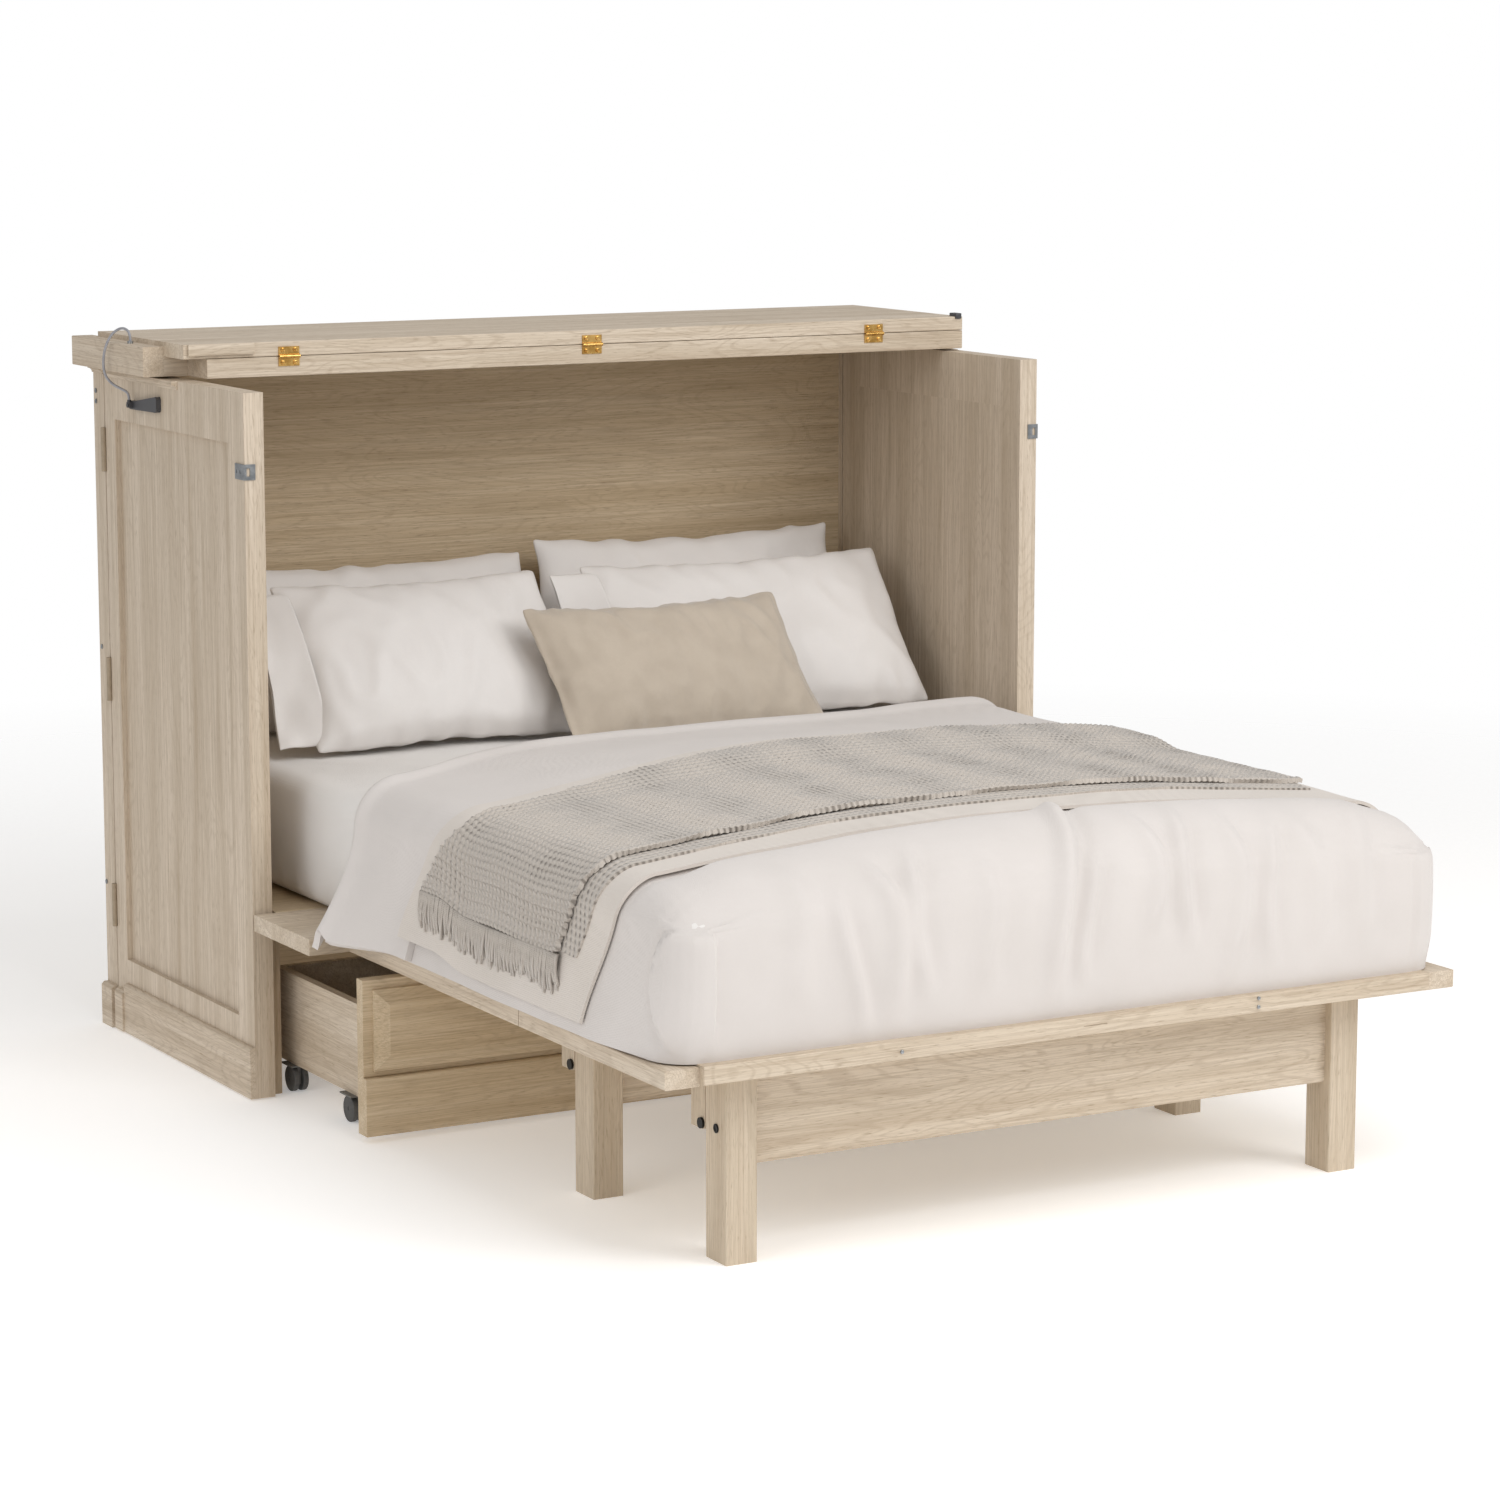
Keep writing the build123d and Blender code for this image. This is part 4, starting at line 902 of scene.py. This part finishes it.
def inflate(name, width, height, thick, pressure, frames, seed, spacing=0.011, evenness=0.88, rim=0.0):
    """A sewn, stuffed rectangle, lying flat with its lower left corner at the origin."""
    deselect()
    bpy.ops.mesh.primitive_grid_add(x_subdivisions=round(width / spacing),
                                    y_subdivisions=round(height / spacing), size=1)
    piece = bpy.context.object
    piece.name = name
    piece.scale = (width, height, 1)
    bpy.ops.object.transform_apply(location=True, rotation=True, scale=True)
    bpy.ops.object.mode_set(mode="EDIT")
    bpy.ops.mesh.select_all(action="SELECT")
    bpy.ops.mesh.extrude_region_move(TRANSFORM_OT_translate={"value": (0, 0, 0.016)})
    bpy.ops.mesh.select_all(action="SELECT")
    bpy.ops.mesh.normals_make_consistent(inside=False)
    bpy.ops.object.mode_set(mode="OBJECT")
    flat = [(2 * v.co.x / width, 2 * v.co.y / height, 1 if v.co.z > 0.008 else -1)
            for v in piece.data.vertices]
    for vertex in piece.data.vertices:
        p = vertex.co
        p.z += 0.003 * noise.noise(Vector((p.x * 14 + seed, p.y * 14, p.z * 40)))
    cloth = piece.modifiers.new("blown_up", "CLOTH")
    cloth.settings.quality = 6
    cloth.settings.mass = 0.25
    cloth.settings.tension_stiffness = 18
    cloth.settings.compression_stiffness = 14
    cloth.settings.shear_stiffness = 6
    cloth.settings.bending_stiffness = 0.25
    cloth.settings.use_pressure = True
    cloth.settings.uniform_pressure_force = pressure
    cloth.settings.effector_weights.gravity = 0
    cloth.collision_settings.use_collision = False
    cloth.point_cache.frame_start = 1
    cloth.point_cache.frame_end = frames
    for step in range(1, frames + 1):
        bpy.context.scene.frame_set(step)
    bpy.ops.object.modifier_apply(modifier=cloth.name)
    bpy.context.scene.frame_set(1)
    low = Vector([min(v.co[k] for v in piece.data.vertices) for k in range(3)])
    high = Vector([max(v.co[k] for v in piece.data.vertices) for k in range(3)])
    print(name, "blown up to", [round(h - l, 3) for h, l in zip(high, low)])
    target = Vector((width, height, thick))
    for vertex, (u, v, face) in zip(piece.data.vertices, flat):
        blown = Vector([(c - l) / (h - l) * t for c, l, h, t in zip(vertex.co, low, high, target)])
        vertex.co = blown.lerp(stuffed(u, v, face, target, rim), evenness)
    return piece


def settle(piece, height, thick, slump):
    """Lets the filling sink: fuller below, thinner at the top."""
    for vertex in piece.data.vertices:
        p = vertex.co
        v = p.y / height
        middle = thick / 2
        p.z = middle + (p.z - middle) * (1 + slump * (0.45 - v))


def crinkle(piece, size, depth, seed):
    """Small pulled creases, as in crushed or washed cloth."""
    normals = [v.normal.copy() for v in piece.data.vertices]
    for vertex, normal in zip(piece.data.vertices, normals):
        p = vertex.co
        q = Vector((p.x / size + seed, p.y / (1.8 * size), p.z / size))
        ridge = 1 - abs(noise.noise(q)) * 3.2
        vertex.co = p + normal * depth * max(-0.4, ridge)


def lean_back(piece, node, lean, height, thick):
    """Turns a lying pillow up by its lean and sets it where the part is."""
    low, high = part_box(node)
    angle = math.radians(lean)
    sunk = 0.72 * thick / 2 * math.cos(angle)
    place = Vector((low.x, high.y - height * math.cos(angle), MATTRESS_TOP - sunk))
    turn = Matrix.Translation(place) @ Matrix.Rotation(angle, 4, "X")
    piece.data.transform(turn)


def refine(piece):
    deselect()
    bpy.context.view_layer.objects.active = piece
    piece.select_set(True)
    sub = piece.modifiers.new("finer", "SUBSURF")
    sub.levels = sub.render_levels = 1
    bpy.ops.object.modifier_apply(modifier=sub.name)
    bpy.ops.object.shade_smooth()


# %% Open ends of the two front pillowcases
def case_end(name, height, length, thick, seed):
    """The loose, empty end of a pillowcase, as a flattened tube that runs off the pillow's left."""
    deselect()
    rows = 40
    bpy.ops.mesh.primitive_grid_add(x_subdivisions=14, y_subdivisions=2 * rows, size=1)
    piece = bpy.context.object
    piece.name = name
    for vertex in piece.data.vertices:
        out, round_it = vertex.co.x + 0.5, vertex.co.y + 0.5
        front = round_it < 0.5
        v = round_it * 2 if front else 2 - round_it * 2
        y = 0.012 + v * (height - 0.024)
        mid = thick / 2 + 0.010 * math.sin(7 * v + seed) * out
        body = 0.5 * (0.055 * (1 - out) ** 1.5 + 0.007) * (math.sin(math.pi * min(1, max(0, v))) ** 0.4)
        wave = 0.008 * noise.noise(Vector((out * 2, v * 5, seed))) * out
        pinch = 0.012 * out * math.sin(math.pi * v)
        x = 0.075 - out * (length + 0.03) + pinch
        vertex.co = Vector((x, y, mid + (body if front else -body) + wave))
    bpy.ops.object.mode_set(mode="EDIT")
    bpy.ops.mesh.select_all(action="SELECT")
    bpy.ops.mesh.remove_doubles(threshold=0.0004)
    bpy.ops.mesh.normals_make_consistent(inside=False)
    bpy.ops.object.mode_set(mode="OBJECT")
    shell = piece.modifiers.new("cloth", "SOLIDIFY")
    shell.thickness = 0.0016
    shell.offset = 0
    bpy.ops.object.modifier_apply(modifier=shell.name)
    return piece


# %% The four pillows
CASE_END = 0.055
PILLOWS = [
    # part, body, height, thickness, lean, open end on the left
    ("pillow_rear_left", "rear_pillow_left", 0.288, 0.105, 76, False),
    ("pillow_rear_right", "rear_pillow_right", 0.306, 0.105, 76, False),
    ("pillow_front_left", "front_pillow_left", 0.322, 0.130, 52, True),
    ("pillow_front_right", "front_pillow_right", 0.322, 0.130, 52, True),
]
for number, (node, body, height, thick, lean, open_end) in enumerate(PILLOWS):
    low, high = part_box(node)
    width = high.x - low.x
    start = CASE_END if open_end else 0.0
    pillow = inflate("soft_" + node, width - start, height, thick, 6.0, 22, 3 * number + 1)
    settle(pillow, height, thick, 0.35)
    crinkle(pillow, 0.060, 0.0046, number)
    refine(pillow)
    for vertex in pillow.data.vertices:
        vertex.co.x += start
    if open_end:
        end = case_end("case_end", height, CASE_END, thick, 2.0 * number)
        refine(end)
        deselect()
        end.select_set(True)
        pillow.select_set(True)
        bpy.context.view_layer.objects.active = pillow
        bpy.ops.object.join()
    lean_back(pillow, node, lean, height, thick)
    pillow.data.materials.clear()
    pillow.data.materials.append(pillow_percale)
    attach(pillow, body)
    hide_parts(node)

# %% [markdown]
# The small cushion in front is velvet with a knife edge: a narrow stitched lip runs all round
# outside the filling. It is inflated as the pillows are, creased more, and given its lip as a
# rim that the filling doesn't reach.

# %% Lumbar cushion
CUSHION_H, CUSHION_T, CUSHION_LEAN = 0.262, 0.105, 55
low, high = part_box("lumbar_cushion")
cushion_w = high.x - low.x
cushion = inflate("velvet_cushion", cushion_w, CUSHION_H, CUSHION_T, 7.0, 24, 40,
                  spacing=0.008, evenness=0.86, rim=0.035)
crinkle(cushion, 0.045, 0.0040, 9)
refine(cushion)
for vertex in cushion.data.vertices:
    vertex.co.x += 0.10 * (CUSHION_H / 2 - vertex.co.y)
lean_back(cushion, "lumbar_cushion", CUSHION_LEAN, CUSHION_H, CUSHION_T)
cushion.data.materials.clear()
cushion.data.materials.append(velvet)
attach(cushion, "cushion")
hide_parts("lumbar_cushion")
print("cushion points", len(cushion.data.vertices))

# %% [markdown]
# Small fittings: screws on the posts, the foot rail and the lid's hinges, bolt heads on the
# legs, and the strip and cap on the lid's edge. A screw is a short turned head with a recess.


# %% Screws
def screw(place, normal, radius=0.0042, head=0.0016):
    """A pan-head screw with a round recess, standing on a face."""
    deselect()
    bpy.ops.mesh.primitive_cylinder_add(vertices=24, radius=radius, depth=head)
    piece = bpy.context.object
    bpy.ops.object.mode_set(mode="EDIT")
    bpy.ops.mesh.select_all(action="DESELECT")
    edit = bmesh.from_edit_mesh(piece.data)
    for face in edit.faces:
        face.select = face.normal.z > 0.9
    bmesh.update_edit_mesh(piece.data)
    bpy.ops.mesh.inset(thickness=radius * 0.28, depth=head * 0.25)
    bpy.ops.mesh.inset(thickness=radius * 0.30, depth=-head * 0.55)
    bpy.ops.object.mode_set(mode="OBJECT")
    turn = Vector(normal).to_track_quat("Z", "Y").to_matrix().to_4x4()
    lift = Vector(normal) * head / 2
    piece.data.transform(Matrix.Translation(Vector(place) + lift) @ turn)
    return piece


def screw_set(name, body, material, places, radius=0.0042):
    made = [screw(place, normal, radius) for place, normal in places]
    deselect()
    for piece in made:
        piece.select_set(True)
    bpy.context.view_layer.objects.active = made[0]
    bpy.ops.object.join()
    joined = bpy.context.object
    joined.name = name
    joined.data.materials.append(material)
    bpy.ops.object.shade_smooth_by_angle(angle=math.radians(35))
    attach(joined, body)
    return joined


HALF_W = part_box("posts")[1].x
POST_SCREWS = ((0.650, 1.105), (0.650, 1.087), (0.650, 0.664), (0.655, 0.251))      # y, z
RAIL_SCREWS = ((0.307, -0.002), (0.307, -0.015), (-0.306, -0.012))                  # x, z
screw_set("post_screws", "cabinet", zinc, [((-HALF_W, at(y), z), (-1, 0, 0)) for y, z in POST_SCREWS])
screw_set("rail_screws", "foot_section", zinc,
          [((x, FOOT_LOW.y, PLATFORM_Z + z), (0, -1, 0)) for x, z in RAIL_SCREWS], 0.0028)
flap_low, flap_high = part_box("lid_flap")
seam_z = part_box("fixed_top")[1].z + 0.0004
hinge_x = [-HALF_W + 0.185, 0.0, HALF_W - 0.185]
for name, body, rise in (("lid_hinge_screws_upper", "lid", 0.0105),
                         ("lid_hinge_screws_lower", "cabinet", -0.0105)):
    screw_set(name, body, brass, [((x + dx, flap_low.y - 0.0018, seam_z + rise), (0, -1, 0))
                                  for x in hinge_x for dx in (-0.011, 0.011)], 0.0036)
leg_low, leg_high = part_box("foot_legs")
screw_set("leg_bolt_heads", "foot_leg_pair", bolt_black,
          [((side * leg_high.x, leg_low.y + 0.028, 0.193), (side, 0, 0)) for side in (-1, 1)], 0.0068)
print("screws made")


# %% Strip on the lid's front edge
def strip(name, low, high, body, material):
    low, high = Vector(low), Vector(high)
    deselect()
    bpy.ops.mesh.primitive_cube_add(size=1, location=(low + high) / 2, scale=high - low)
    piece = bpy.context.object
    piece.name = name
    bpy.ops.object.transform_apply(location=True, rotation=True, scale=True)
    bpy.ops.object.mode_set(mode="EDIT")
    bpy.ops.mesh.select_all(action="SELECT")
    bpy.ops.mesh.bevel(offset=0.0012, segments=2)
    bpy.ops.object.mode_set(mode="OBJECT")
    bpy.ops.object.shade_smooth_by_angle(angle=math.radians(35))
    piece.data.materials.append(material)
    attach(piece, body)
    return piece


strip("lid_edge_strip", (-0.738, flap_low.y - 0.0055, flap_low.z + 0.005),
      (-0.622, flap_low.y, flap_high.z + 0.0005), "lid", oak_wide)
strip("lid_end_cap", (HALF_W - 0.015, flap_low.y - 0.003, flap_high.z - 0.004),
      (HALF_W - 0.003, flap_low.y + 0.02, flap_high.z + 0.006), "lid", tab_plastic)

# %% Sizes
low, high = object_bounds()
print("visual box", [round(v, 3) for v in low], [round(v, 3) for v in high])
